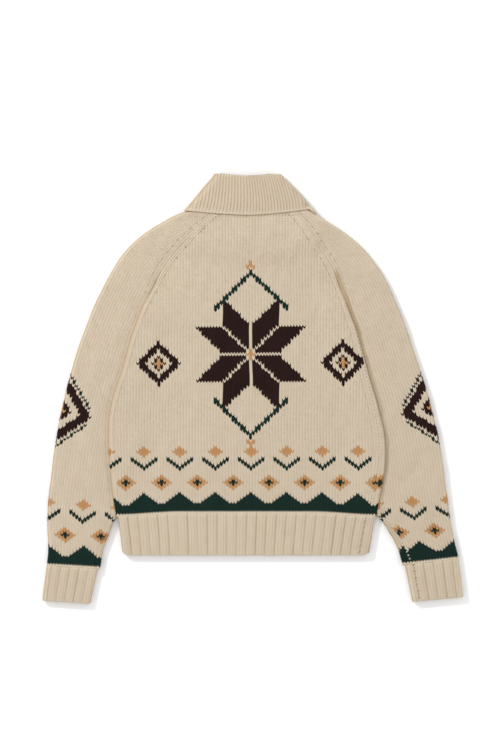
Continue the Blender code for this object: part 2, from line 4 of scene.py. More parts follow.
import bmesh
import bpy
import numpy as np
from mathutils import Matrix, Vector

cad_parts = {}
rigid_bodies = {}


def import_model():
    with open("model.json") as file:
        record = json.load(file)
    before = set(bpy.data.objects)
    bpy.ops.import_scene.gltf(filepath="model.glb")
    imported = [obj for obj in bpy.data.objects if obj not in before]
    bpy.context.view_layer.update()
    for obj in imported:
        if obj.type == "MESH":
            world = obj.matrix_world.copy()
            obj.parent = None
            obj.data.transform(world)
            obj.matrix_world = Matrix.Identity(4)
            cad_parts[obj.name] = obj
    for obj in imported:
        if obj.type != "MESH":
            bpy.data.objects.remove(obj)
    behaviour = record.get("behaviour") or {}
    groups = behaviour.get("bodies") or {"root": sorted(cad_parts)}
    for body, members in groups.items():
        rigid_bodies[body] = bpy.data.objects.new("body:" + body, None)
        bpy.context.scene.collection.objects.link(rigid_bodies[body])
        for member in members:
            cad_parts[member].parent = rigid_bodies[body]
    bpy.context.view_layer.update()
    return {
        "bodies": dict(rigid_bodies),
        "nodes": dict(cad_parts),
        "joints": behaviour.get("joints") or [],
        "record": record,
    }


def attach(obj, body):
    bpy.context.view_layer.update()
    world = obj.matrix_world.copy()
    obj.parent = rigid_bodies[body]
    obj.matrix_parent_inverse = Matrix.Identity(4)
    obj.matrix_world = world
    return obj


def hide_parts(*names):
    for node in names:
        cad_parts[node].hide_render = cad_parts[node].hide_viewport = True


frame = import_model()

print("frame loaded")

# Everything is in metres. +X is the wearer's right, +Y runs from the hem to the neck, +Z is up.
# The garment lies face down on z = 0, so its back is on top.

garment = {
    "wall": 0.004,            # thickness of the knitting
    "ribCore": 0.0036,        # the same in hem and cuffs, below the ribs
    "ribHeight": 0.0011,
    "sideGap": -0.0032,       # the sleeves press into the body's sides
    "seamPress": 0.0012,      # and at the underarm, where the seams roll in
    "lowLayer": 0.002,        # middle of the cloth on the fronts
    "highLayer": 0.0098,      # on the back
    "ribHigh": 0.0097,        # and on the back's hem rib
    "lowLift": 0.0055,        # the collar's front lies under the garment
    "highLift": 0.0053,
    "collarFront": (-0.0070, 0.338, 0.128, 0.080),   # middle x and y, half width, half height
    "collarRound": 2.6,       # a circle has 2, a square much more
    "collarFade": 0.45,       # how far beyond it the lift ends
    "tuck": 0.012,            # the sleeves' inner edges lie under the body's sides
    "tuckedRadius": 0.0033,
    "tuckedBlend": 0.025,
    "tuckLength": 0.060,      # they slip under within this below the underarm
    "tuckEnd": (-0.178, -0.2326),   # and out again between these heights
    "sideLift": 0.0045,       # the body's sides rise over them
    "liftFlat": 0.014,
    "liftRun": 0.070,
    "rollStart": 0.056,       # above the underarm the sides open into raglan seams
    "sideAngle": 1.5,         # a roll beyond this has a side seam
    "raglanAngle": 1.0,       # and below this the cloth is flat enough for decreases
    "neckBend": {"front": 8, "back": 18},   # rows of the tube, from where the cloth bends to the neck
    "neckReach": 0.0045,      # the back goes on under the collar
    "frontNeckY": 0.2730,
    "sag": {"rise": 0.0018, "drop": 0.0055, "centre": -0.012, "start": 0.12, "reach": 0.075},
    "sway": 0.0006,           # wales are never quite straight
    "ripple": 0.0003,         # and the cloth never quite flat
}
bodyRadius = (garment["highLayer"] - garment["lowLayer"]) / 2
ribLow = garment["ribCore"] / 2 + garment["ribHeight"]

# Line where body and sleeve meet, then the sleeve's outer fold: left side x, y, x, y, then right.
plan = np.array([
    (-0.067, 0.321, -0.089, 0.335, 0.070, 0.325, 0.088, 0.342),         # neck
    (-0.098, 0.298, -0.135, 0.324, 0.098, 0.296, 0.124, 0.317),         # shoulder
    (-0.128, 0.270, -0.178, 0.302, 0.120, 0.265, 0.165, 0.292),
    (-0.152, 0.242, -0.216, 0.275, 0.140, 0.236, 0.200, 0.264),
    (-0.172, 0.212, -0.246, 0.242, 0.152, 0.213, 0.226, 0.232),
    (-0.187, 0.184, -0.269, 0.203, 0.160, 0.190, 0.245, 0.203),         # underarm
    (-0.209, 0.140, -0.290, 0.163, 0.177, 0.144, 0.262, 0.165),
    (-0.225, 0.092, -0.308, 0.118, 0.195, 0.096, 0.282, 0.119),
    (-0.242, 0.033, -0.329, 0.058, 0.211, 0.035, 0.302, 0.058),         # elbow
    (-0.260, -0.020, -0.344, 0.005, 0.227, -0.019, 0.319, 0.005),
    (-0.266, -0.069, -0.356, -0.048, 0.240, -0.067, 0.333, -0.044),
    (-0.266, -0.117, -0.365, -0.097, 0.245, -0.115, 0.345, -0.096),
    (-0.262, -0.169, -0.373, -0.152, 0.240, -0.169, 0.354, -0.159),
    (-0.2525, -0.2326, -0.380, -0.222, 0.2276, -0.2326, 0.363, -0.222),  # hem
])
underarmRow = 5
# The same four points for each row of the forearms, from the hem to the wrist
wrists = np.array([
    (-0.2550, -0.231, -0.380, -0.222, 0.2320, -0.229, 0.363, -0.222),   # beside the hem
    (-0.269, -0.267, -0.3805, -0.261, 0.251, -0.258, 0.367, -0.251),
    (-0.280, -0.297, -0.3795, -0.294, 0.269, -0.292, 0.3735, -0.287),
    (-0.286, -0.333, -0.382, -0.327, 0.280, -0.326, 0.3805, -0.314),    # cuff's seam
    (-0.300, -0.3980, -0.3903, -0.3920, 0.2945, -0.3945, 0.3903, -0.3850),
])
# Ends of the hem rib: left x, y, right x, y
hemEnds = np.array([
    (-0.2515, -0.2324, 0.2270, -0.2324),
    (-0.2465, -0.2700, 0.2215, -0.2700),
    (-0.2425, -0.3080, 0.2160, -0.3080),
])
# How far the right side seam is turned on to the back, by y
sideTurn = [
    (-0.31, 0.0185), (-0.24, 0.0170), (-0.11, 0.0130), (0.10, 0.0020), (0.16, 0.0), (0.40, 0.0),
]
# Soft folds in the upper layer: x, y, direction in degrees, half length, half width, depth
softFolds = [
    (-0.158, 0.195, 72, 0.075, 0.016, 0.0016),
    (-0.135, 0.020, 100, 0.080, 0.020, 0.0018),
    (-0.178, -0.100, 62, 0.080, 0.018, 0.0016),
    (0.120, 0.150, 110, 0.070, 0.016, 0.0010),
    (0.150, -0.060, 80, 0.090, 0.020, 0.0010),
    (0.285, -0.165, 52, 0.045, 0.009, 0.0016),
    (-0.300, -0.205, 125, 0.050, 0.010, 0.0014),
    (-0.262, 0.130, 62, 0.060, 0.012, 0.0010),
    (0.262, 0.060, 115, 0.060, 0.012, 0.0010),
    (-0.330, -0.060, 100, 0.070, 0.012, 0.0009),
]
# Waves in the cloth: size, radians per metre along x and y, start
waves = {
    "broad": (1.0, 118, 31, 0.0),
    "cross": (1.0, -22, 87, 0.7),
    "fine": (0.6, 205, -64, 2.0),
    "longSway": (1.0, 0, 41, 1.3),
    "shortSway": (0.5, -12, 96, 0.0),
}
chance = np.random.default_rng(11)


# Helpers for shapes

def smooth(value):
    value = np.clip(value, 0.0, 1.0)
    return value * value * (3 - 2 * value)


def unit(vectors):
    return vectors / np.linalg.norm(vectors, axis=-1, keepdims=True)


def spline(points, places):   # Catmull-Rom through rows of numbers, at fractional row numbers
    points = np.asarray(points, float)
    last = len(points) - 1
    places = np.asarray(places, float)
    index = np.minimum(places.astype(int), last - 1)
    share = (places - index).reshape((-1,) + (1,) * (points.ndim - 1))
    padded = np.concatenate([[2 * points[0] - points[1]], points, [2 * points[last] - points[last - 1]]])
    before, start, end, after = (padded[index + step] for step in range(4))
    return 0.5 * (2 * start + (end - before) * share
                  + (2 * before - 5 * start + 4 * end - after) * share ** 2
                  + (3 * start - before - 3 * end + after) * share ** 3)


def evenPlaces(line, step):   # fractional row numbers, evenly spaced along a line of points, two to a stitch
    dense = np.linspace(0, len(line) - 1, 600)
    points = spline(line, dense)
    run = np.concatenate([[0], np.cumsum(np.linalg.norm(np.diff(points, axis=0), axis=1))])
    count = 2 * max(int(round(run[-1] / step)), 1) + 1
    return np.interp(np.linspace(0, run[-1], count), run, dense)


def foldDepth(x, y):
    total = np.zeros_like(x)
    for foldX, foldY, degrees, halfLength, halfWidth, depth in softFolds:
        alongX, alongY = cos(radians(degrees)), sin(radians(degrees))
        run = (x - foldX) * alongX + (y - foldY) * alongY
        across = (y - foldY) * alongX - (x - foldX) * alongY
        total += depth * np.exp(-(across / halfWidth) ** 2 - (run / halfLength) ** 2)
    return total


def collarLift(x, y):   # one over the collar's front, nothing well outside it
    middleX, middleY, halfWide, halfTall = garment["collarFront"]
    power, fade = garment["collarRound"], garment["collarFade"]
    reach = (abs((x - middleX) / halfWide) ** power + abs((y - middleY) / halfTall) ** power) ** (1 / power)
    return smooth((1 + fade - reach) / fade)


def wave(name, x, y):
    size, alongX, alongY, start = waves[name]
    return size * np.sin(alongX * x + alongY * y + start)


def settle(middle, outward):   # raises cloth over the collar's front, presses the soft folds in
    upper = 0.5 + 0.5 * outward[..., 2]
    x, y = middle[..., 0].copy(), middle[..., 1]
    lift = garment["lowLift"] + (garment["highLift"] - garment["lowLift"]) * upper
    ripple = wave("broad", x, y) * wave("cross", x, y) + wave("fine", x, y)
    middle[..., 2] += collarLift(x, y) * lift + upper * (garment["ripple"] * ripple - foldDepth(x, y))
    middle[..., 0] += garment["sway"] * (wave("longSway", x, y) + wave("shortSway", x, y)) * upper


def sagSides(middle):   # body and hem meet a little lower at both sides
    sag = garment["sag"]
    share = smooth(1 - abs(middle[..., 1] - hemEnds[0, 1]) / sag["reach"])
    fromCentre = abs(middle[..., 0] - sag["centre"])
    middle[..., 1] += share * (sag["rise"] - sag["drop"] * smooth((fromCentre - sag["start"]) / sag["start"]))


def atHeight(table, y):   # from rows of height and value
    return np.interp(y, *np.transpose(table))


def seamSide(rows, side):   # where body and sleeve meet
    return rows[..., 0:2] if side < 0 else rows[..., 4:6]


def outerSide(rows, side):   # the sleeve's outer fold
    return rows[..., 2:4] if side < 0 else rows[..., 6:8]


# The flattened tubes of body and sleeves, row by row. A tube's row holds: start x, y, direction x, y,
# near inset, flat width, near and far radius, low layer, near and far lift, width.

def measureRows(rows, side):   # the seam, its direction, and how far above the underarm it is
    line, underarm = seamSide(rows, side), seamSide(plan[underarmRow], side)
    above = np.where(line[:, 1] > underarm[1], 1, -1)
    return line, unit(np.gradient(line, axis=0)), np.linalg.norm(line - underarm, axis=1) * above


def rollAngle(distance):   # a quarter turn at a side seam, nothing at a flat raglan seam
    return pi / 2 * smooth(1 - distance / garment["rollStart"])


def tucked(distance, y):   # how far a sleeve's edge has slipped under the body
    start, end = garment["tuckEnd"]
    return smooth(-distance / garment["tuckLength"]) * smooth((y - end) / (start - end))


def tuckShape(amount):   # radius of the sleeve's edge, lift of the body's side, and their overlap
    radius = bodyRadius + (garment["tuckedRadius"] - bodyRadius) * amount
    lift = garment["sideLift"] * amount
    bodyHalf, sleeveHalf = bodyRadius + garment["wall"] / 2, radius + garment["wall"] / 2
    apart = bodyHalf + sleeveHalf + garment["sideGap"]
    level = max(apart ** 2 - (lift + bodyHalf - sleeveHalf) ** 2, 0.0) ** 0.5
    return radius, lift, min(bodyHalf + sleeveHalf - level, garment["tuck"])


def crossing(along, tangent):
    return abs(along[0] * tangent[1] - along[1] * tangent[0])


def edgeInset(angle, along, tangent):
    return (garment["wall"] / 2 - garment["seamPress"]) * sin(angle) / crossing(along, tangent)


# Rows are closer from the neck to just below the underarm
closeRows = underarmRow + 1
bodyPlaces = np.concatenate([np.linspace(0, closeRows, 2 * closeRows + 1),
                             np.linspace(closeRows, len(plan) - 1, 11)[1:]])
bodyRows = spline(plan, bodyPlaces)[::-1]
wristRows = spline(wrists, np.linspace(0.5, 3.0, 6))[::-1]
sleeveRows = np.concatenate([wristRows, wrists[:1], bodyRows[1:]])


def bodyTubes():
    leftLine, leftTangent, leftUp = measureRows(bodyRows, -1)
    rightLine, rightTangent, rightUp = measureRows(bodyRows, 1)
    tubes, rolls = [], []
    for k in range(len(bodyRows)):
        along = unit(rightLine[k] - leftLine[k])
        width = np.linalg.norm(rightLine[k] - leftLine[k])
        left, right = rollAngle(leftUp[k]), rollAngle(rightUp[k])
        near = edgeInset(left, along, leftTangent[k]) - bodyRadius * (1 - sin(left))
        far = edgeInset(right, along, rightTangent[k]) - bodyRadius * (1 - sin(right))
        leftLift = tuckShape(tucked(leftUp[k], leftLine[k, 1]))[1]
        rightLift = tuckShape(tucked(rightUp[k], rightLine[k, 1]))[1]
        tubes.append((*leftLine[k], *along, near, width - near - far - 2 * bodyRadius, bodyRadius,
                      bodyRadius, garment["lowLayer"], leftLift, rightLift, width))
        rolls.append((left, right, atHeight(sideTurn, leftLine[k, 1])))
    return np.array(tubes), np.array(rolls)


def sleeveTubes(side):
    line, tangent, up = measureRows(sleeveRows, side)
    outer = outerSide(sleeveRows, side)
    tubes, rolls = [], []
    for k in range(len(sleeveRows)):
        along = unit(outer[k] - line[k])
        width = np.linalg.norm(outer[k] - line[k])
        angle = rollAngle(up[k])
        radius, _, reach = tuckShape(tucked(up[k], line[k, 1]))
        if up[k] < 0:
            near = (garment["wall"] / 2 - reach) / crossing(along, tangent[k])
        else:
            near = edgeInset(angle, along, tangent[k]) - radius * (1 - sin(angle))
        flat = width - near - radius - bodyRadius - garment["wall"] / 2
        tubes.append((*line[k], *along, near, flat, radius, bodyRadius, garment["lowLayer"], 0.0, 0.0, width))
        rolls.append(angle)
    return np.array(tubes), np.array(rolls)


def ribTube(start, end, radius):
    along, width = unit(end - start), np.linalg.norm(end - start)
    return (*start, *along, ribLow, width - 2 * ribLow - 2 * radius, radius, radius, ribLow, 0.0, 0.0, width)


def topWay(tubes):   # way from a tube's near side over the top to its far side
    return (tubes[:, 6] + tubes[:, 7]) * pi / 2 + tubes[:, 5]


def wayToX(tubes, x, under):   # way round each row to a given x, on the top or the underside
    across = (x - tubes[:, 0]) / tubes[:, 2] - tubes[:, 4] + tubes[:, 6] * (pi / 2 - 1)
    return 2 * topWay(tubes) - across if under else across


def tubeSurface(tubes, ways):   # middle of the cloth and the way out, for a grid of ways
    startX, startY, alongX, alongY, nearInset, flat, near, far, low, nearLift, farLift, width = (
        tubes[:, k:k + 1] for k in range(12))
    top = topWay(tubes)[:, None]
    ways = np.mod(ways, 2 * top)
    under = ways > top
    step = np.where(under, 2 * top - ways, ways)
    nearQuarter = near * pi / 2
    onNear, onFar = step < nearQuarter, step > nearQuarter + flat
    nearAngle = np.clip(step / near, 0, pi / 2)
    farAngle = np.clip((step - nearQuarter - flat) / far, 0, pi / 2)
    across = near + step - nearQuarter
    # A tucked edge has a smaller radius, and the layers part from there on
    rise = near + (far - near) * smooth((across - garment["liftFlat"]) / garment["tuckedBlend"])
    radius = np.where(onNear, near, np.where(onFar, far, rise))
    rise = np.where(onNear, near * np.sin(nearAngle), np.where(onFar, far * np.cos(farAngle), rise))
    across = np.where(onNear, near * (1 - np.cos(nearAngle)), across)
    across = np.where(onFar, near + flat + far * np.sin(farAngle), across)
    height = low + radius + np.where(under, -rise, rise)
    nearDistance = nearInset + across
    height = height + nearLift * smooth(1 - (nearDistance - garment["liftFlat"]) / garment["liftRun"])
    height = height + farLift * smooth(1 - (width - nearDistance - garment["liftFlat"]) / garment["liftRun"])
    level = np.where(onNear, -np.cos(nearAngle), np.where(onFar, np.sin(farAngle), 0.0))
    upright = np.where(onNear, np.sin(nearAngle), np.where(onFar, np.cos(farAngle), 1.0))
    upright = np.where(under, -upright, upright)
    middle = np.stack([startX + alongX * nearDistance, startY + alongY * nearDistance, height], axis=2)
    outward = np.stack([alongX * level, alongY * level, upright], axis=2)
    return middle, outward


def denseTubes(tubes, places):
    made = spline(tubes, places)
    made[:, 2:4] = unit(made[:, 2:4])
    return made


def neckLine(x):   # y of a straight line from one end of the neck to the other
    leftX, leftY, rightX, rightY = plan[0, [0, 1, 4, 5]]
    return leftY + (rightY - leftY) * ((x - leftX) / (rightX - leftX))


def neckHollow(x):   # how far below it the front's neck is cut
    share = np.maximum(1 - (x / np.where(x < 0, plan[0, 0], plan[0, 4])) ** 2, 0)
    return (neckLine(x) - garment["frontNeckY"]) * share


def bendToNeck(middle, part, places):   # bends the rows near the neck to its edge
    first = garment["neckBend"][part]
    drop = neckHollow(middle[..., 0]) if part == "front" else -garment["neckReach"]
    middle[..., 1] -= drop * smooth((places - first) / (len(bodyRows) - 1 - first))[:, None]


def addObject(name, data):
    made = bpy.data.objects.new(name, data)
    bpy.context.scene.collection.objects.link(made)
    return made


# Wool

# Colour, colour of the flecks, their share, sheen; charts number the yarns from 0 in this order
yarn = {
    "cream": ((0.730, 0.646, 0.526), (0.53, 0.43, 0.32), 0.30, 0.15),
    "brown": ((0.0158, 0.0047, 0.0045), (0.048, 0.022, 0.020), 0.40, 0.03),
    "green": ((0.0052, 0.0205, 0.0180), (0.013, 0.050, 0.036), 0.45, 0.03),
    "tan": ((0.550, 0.300, 0.130), (0.66, 0.42, 0.22), 0.30, 0.10),
}
wool = {
    "roughness": 0.92,
    "specular": 0.18,
    "sheenRoughness": 0.6,
    "sheenTint": (1.5, 0.05),      # the yarn's colour times this, plus this
    # colour of the painted shade in hollows, creases and seams
    "hollowShade": (0.60, 0.48, 0.34),
    "streakScale": 38.0,
    "streaks": (0.35, 0.75, 0.35),     # noise from, to, and the share it then has
    "fleckScale": 620.0,
    "flecks": (0.42, 0.72, 1.0),
    "twist": 3.0,             # turns of the plies in a stitch
    "plyLean": -1.6,
    "plyHeight": 0.18,
    "fibreScale": 1400.0,
    "fuzz": 0.8,
    "bump": 0.7,
    "bumpDepth": 0.0005,
}


def nodeGroup(name, inputs, outputs):
    group = bpy.data.node_groups.new(name, "ShaderNodeTree")
    for kind, label, value in inputs:
        socket = group.interface.new_socket(name=label, in_out="INPUT", socket_type=kind)
        socket.default_value = value
    for kind, label in outputs:
        group.interface.new_socket(name=label, in_out="OUTPUT", socket_type=kind)
    return group, group.nodes.new("NodeGroupInput"), group.nodes.new("NodeGroupOutput")


def addNode(tree, kind, settings=None, **inputs):   # inputs go by name, or by number as _0, _1
    node = tree.nodes.new(kind)
    for key, value in (settings or {}).items():
        setattr(node, key, value)
    for key, value in inputs.items():
        socket = node.inputs[int(key[1:])] if key[0] == "_" else node.inputs[key]
        if isinstance(value, bpy.types.NodeSocket):
            tree.links.new(value, socket)
        else:
            socket.default_value = value
    return node


def calculate(tree, operation, *values, clamp=False):
    inputs = {f"_{k}": value for k, value in enumerate(values)}
    node = addNode(tree, "ShaderNodeMath", {"operation": operation, "use_clamp": clamp}, **inputs)
    return node.outputs[0]


def noise(tree, place, scale, detail, roughness):
    node = addNode(tree, "ShaderNodeTexNoise", Vector=place, Scale=scale, Detail=detail, Roughness=roughness)
    return node.outputs["Fac"]


def shareOf(tree, value, low, high, most):   # nothing up to low, most from high on
    return addNode(tree, "ShaderNodeMapRange", _0=value, _1=low, _2=high, _3=0.0, _4=most).outputs[0]


def makeHeatherShadeGroup():   # colour of spun wool: long streaks, fine flecks; then painted shade, multiplied in by each point's share
    tree, entry, result = nodeGroup(
        "heatheredWoolPaintedShade",
        [("NodeSocketColor", "Yarn", (0.6, 0.5, 0.4, 1)), ("NodeSocketColor", "Fleck", (0.4, 0.3, 0.2, 1)),
         ("NodeSocketFloat", "Flecks", 0.3), ("NodeSocketColor", "Hollow Shade", (0.5, 0.4, 0.3, 1))],
        [("NodeSocketColor", "Colour")])
    place = addNode(tree, "ShaderNodeTexCoord").outputs["Object"]
    streaks = shareOf(tree, noise(tree, place, wool["streakScale"], 3.0, 0.55), *wool["streaks"])
    flecks = shareOf(tree, noise(tree, place, wool["fleckScale"], 4.0, 0.7), *wool["flecks"])
    both = calculate(tree, "ADD", streaks, flecks)
    share = calculate(tree, "MULTIPLY", both, entry.outputs["Flecks"], clamp=True)
    spun = addNode(tree, "ShaderNodeMix", {"data_type": "RGBA"}, _0=share,
                   _6=entry.outputs["Yarn"], _7=entry.outputs["Fleck"])
    # each point's share of painted shade
    paintedShade = addNode(tree, "ShaderNodeAttribute", {"attribute_name": "paintedShade"})
    shaded = addNode(tree, "ShaderNodeMix", {"data_type": "RGBA", "blend_type": "MULTIPLY"},
                     _0=paintedShade.outputs["Fac"], _6=spun.outputs[2], _7=entry.outputs["Hollow Shade"])
    tree.links.new(shaded.outputs[2], result.inputs["Colour"])
    return tree


def makePlyGroup():   # height of the yarn's twisted plies and its loose fibres
    tree, entry, result = nodeGroup(
        "twistedPlies",
        [("NodeSocketFloat", "Twist", 3.0), ("NodeSocketFloat", "Fuzz", 0.5)],
        [("NodeSocketFloat", "Height")])
    stitches = addNode(tree, "ShaderNodeUVMap", {"uv_map": "stitches"}).outputs["UV"]
    parts = addNode(tree, "ShaderNodeSeparateXYZ", _0=stitches).outputs
    inWale = calculate(tree, "FRACT", parts["X"])
    fromHeart = calculate(tree, "ABSOLUTE", calculate(tree, "SUBTRACT", inWale, 0.5))
    run = calculate(tree, "ADD", parts["Y"], calculate(tree, "MULTIPLY", fromHeart, wool["plyLean"]))
    turns = calculate(tree, "MULTIPLY", run, entry.outputs["Twist"])
    strand = calculate(tree, "SINE", calculate(tree, "MULTIPLY", turns, 2 * pi))
    ply = calculate(tree, "MULTIPLY", strand, wool["plyHeight"])
    place = addNode(tree, "ShaderNodeTexCoord").outputs["Object"]
    fibre = noise(tree, place, wool["fibreScale"], 3.0, 0.65)
    fuzz = calculate(tree, "MULTIPLY", fibre, entry.outputs["Fuzz"])
    tree.links.new(calculate(tree, "ADD", ply, fuzz), result.inputs["Height"])
    return tree


def newMaterial(name, roughness, specular):
    made = bpy.data.materials.new(name)
    made.use_nodes = True
    shader = made.node_tree.nodes["Principled BSDF"]
    shader.inputs["Roughness"].default_value = roughness
    shader.inputs["Specular IOR Level"].default_value = specular
    return made, made.node_tree, shader


def makeWool(name, colour, fleck, flecks, sheen):
    made, tree, shader = newMaterial(name, wool["roughness"], wool["specular"])
    # yarn colour with the painted shade multiplied in
    tint = addNode(tree, "ShaderNodeGroup", {"node_tree": heatherAndShade}, Yarn=(*colour, 1), Fleck=(*fleck, 1),
                   Flecks=flecks, _3=(*wool["hollowShade"], 1))
    tree.links.new(tint.outputs["Colour"], shader.inputs["Base Color"])
    ply = addNode(tree, "ShaderNodeGroup", {"node_tree": plies}, Twist=wool["twist"], Fuzz=wool["fuzz"])
    bump = addNode(tree, "ShaderNodeBump", Strength=wool["bump"], Distance=wool["bumpDepth"],
                   Height=ply.outputs["Height"])
    tree.links.new(bump.outputs["Normal"], shader.inputs["Normal"])
    times, plus = wool["sheenTint"]
    shader.inputs["Sheen Weight"].default_value = sheen
    shader.inputs["Sheen Roughness"].default_value = wool["sheenRoughness"]
    shader.inputs["Sheen Tint"].default_value = (*[min(1.0, part * times + plus) for part in colour], 1)
    return made


heatherAndShade, plies = makeHeatherShadeGroup(), makePlyGroup()
wools = [makeWool(name + "Wool", *values) for name, values in yarn.items()]
print("wool materials made")


# Knitting

knit = {
    "wale": 0.0055,           # width of a stitch
    "row": 0.0041,            # height of a stitch
    "slant": 0.0020,          # half the rise of a stitch's legs
    "legShift": 0.0003,       # one leg sits higher than the other
    # Two mesh rows make a stitch; the columns are the gap between wales, a leg, the heart, a leg.
    "relief": [(-0.0009, -0.0007, -0.0009, -0.0007), (-0.0007, 0.00025, 0.0, 0.00025)],
    "shade": [(0.75, 0.50, 0.70, 0.50), (0.50, 0.02, 0.08, 0.02)],   # share of painted shade, most in the hollows
    # painted shade on the rims of the inner face
    "rimShade": 0.5,
    "uneven": 0.00018,        # handspun yarn is thicker and thinner
    "unevenShade": 0.03,
    "groove": {"relief": -0.0011, "shade": (0.95, 0.72)},   # a purl wale, hidden between two ribs, with painted shade in it
    "edge": -0.0008,          # seams are drawn in, with painted shade along them
    "edgeShade": 0.75,
    "joined": {"least": 0.0001, "level": 0.0004, "shade": 0.85, "rows": 2},   # body and hem are one cloth
    "creaseShade": {"start": 1.00, "run": 0.50, "shade": 0.90},   # painted shade, warm and dark, on the body's steep sides
    "lampSideShade": 0.85,         # painted shade too on steep edges that face the lamp, to damp their light
    "neckSeam": {"row": -5, "relief": (-0.0014, -0.0005), "shade": (1.0, 0.6)},   # deep and shallow, the deep stitches with painted shade
    "dots": {"run": 3, "relief": (-0.0020, 0.0002), "shade": (1.0, 0.05), "beside": 0.6},   # a sewn side seam: deep holes with painted shade, shallow stitches between
    "edgeWales": 2,           # wales that follow a raglan seam
    "edgeShare": 0.4,         # of a narrow piece's width, at most
    "decrease": -0.0019,      # beside them a hollow with painted shade
    "decreaseRun": (8, 2),    # two mesh rows in every eight
    "turnIn": (6, 3),         # rows that show inside an open end
    "castOff": {"relief": 0.0002, "rows": 1.6, "flatter": 0.75, "clearer": 0.8},   # at the collar's edge, flatter and with less painted shade
    "mapMargin": 0.01,
}


def stockingColumns(origins, starts, ends, markFrom):
    # Wales run straight up from the origins. Next to both edges a few wales follow the edge.
    wale, edgeWales = knit["wale"], knit["edgeWales"]
    quarter = wale / 4
    edge = np.minimum(edgeWales * wale, knit["edgeShare"] * (ends - starts))
    low, high = starts + edge, ends - edge
    steps = np.arange(int(np.floor((starts - origins).min() / quarter)),
                      int(np.ceil((ends - origins).max() / quarter)) + 1)
    raw = origins[:, None] + steps * quarter
    edgeSteps = np.arange(4 * edgeWales + 1)
    blockSize = len(edgeSteps)
    lowBlock = starts[:, None] + edge[:, None] * edgeSteps / edgeSteps[-1]
    highBlock = high[:, None] + edge[:, None] * edgeSteps / edgeSteps[-1]
    ways = np.concatenate([lowBlock, np.clip(raw, low[:, None], high[:, None]), highBlock], axis=1)
    rows, count = ways.shape
    owner = np.tile(np.arange(count), (rows, 1))   # columns beyond an edge wale merge into it
    field = owner[:, blockSize:count - blockSize]
    field[raw <= low[:, None]] = blockSize - 1
    field[raw >= high[:, None]] = count - blockSize
    across = np.concatenate([edgeSteps / 4, (steps + 2) / 4, edgeSteps / 4])
    waleNumber = np.tile(np.floor(across), (rows, 1))
    for block, base in ((slice(0, blockSize), starts), (slice(count - blockSize, count), high)):
        middles = base[:, None] + edge[:, None] * (np.floor(edgeSteps / 4) + 0.5) / edgeWales
        waleNumber[:, block] = np.round((middles - origins[:, None]) / wale)
    return {"ways": ways, "owner": owner, "phase": np.round(across * 4).astype(int) % 4, "across": across,
            "wale": waleNumber.astype(int), "x": ways - origins[:, None],
            "marks": (blockSize - 1, count - blockSize), "markFrom": markFrom}


def straightColumns(ways, x):   # wales that run with the cloth and widen with it
    rows, count = ways.shape
    steps = np.arange(count)
    return {"ways": ways, "owner": np.tile(steps, (rows, 1)), "phase": (steps + 2) % 4,
            "across": (steps + 2) / 4, "wale": np.tile((steps + 2) // 4, (rows, 1)), "x": x}


def raiseRibs(columns, relief, shade):   # purl wales sink between the ribs, with painted shade in and beside them, and the ends flatten out
    number, groove = np.arange(len(relief)), columns["groove"]
    depth = columns.get("depth", np.ones(len(groove)))
    beside = (np.roll(groove, 1) | np.roll(groove, -1)) & ~groove
    relief[:, groove] = knit["groove"]["relief"] * depth[groove]
    shade[:, groove] = np.where(number % 2 == 0, *knit["groove"]["shade"])[:, None] * depth[groove]
    shade[::2, beside] += columns["besideShade"] * depth[beside]
    shade[:, columns["phase"] == 2] *= columns.get("heartShade", 1.0)
    height = columns["swell"] * garment["ribHeight"]
    if columns.get("castOff"):
        castOff = knit["castOff"]
        atEdge = np.exp(-(number / castOff["rows"]) ** 2)[:, None]
        clear = 1 - castOff["clearer"] * atEdge
        relief = relief * (1 - castOff["flatter"] * atEdge) + castOff["relief"] * atEdge
        return relief + height * clear, shade * clear
    atJoin = smooth((len(relief) - 1 - number) / knit["joined"]["rows"])[:, None]
    return knit["joined"]["level"] + (relief + height - knit["joined"]["level"]) * atJoin, shade


def raisePattern(columns, rows):   # height of every point above the cloth, lean, and share of painted shade
    phase, number = columns["phase"], np.arange(rows)
    stitch = (number % 2)[:, None], phase[None, :]
    relief, shade = np.array(knit["relief"])[stitch], np.array(knit["shade"])[stitch]
    legShift = columns.get("legShift", knit["legShift"])
    lean = np.tile(np.array([knit["slant"], legShift, -knit["slant"], -legShift])[phase], (rows, 1))
    loose = chance.normal(0, 1, (rows // 2 + 1, np.ptp(columns["wale"]) + 1))
    loose = loose[(number // 2)[:, None], columns["wale"] - columns["wale"].min()]
    relief = relief + loose * knit["uneven"] * (phase % 2)[None, :]
    shade = shade + loose * knit["unevenShade"]
    every, deep = knit["decreaseRun"]
    for column in columns.get("marks", ()):
        marked = (number % every < deep) & (number >= columns["markFrom"])
        relief[marked, column], shade[marked, column] = knit["decrease"], 1.0
    if "groove" in columns:
        relief, shade = raiseRibs(columns, relief, shade)
    return relief, lean, np.clip(shade, 0, 1)


def sew(relief, paintedShade, place, deep, seam):   # stitches of a seam are deep or shallow, with more or less painted shade
    relief[place], paintedShade[place] = np.where(deep, *seam["relief"]), np.where(deep, *seam["shade"])


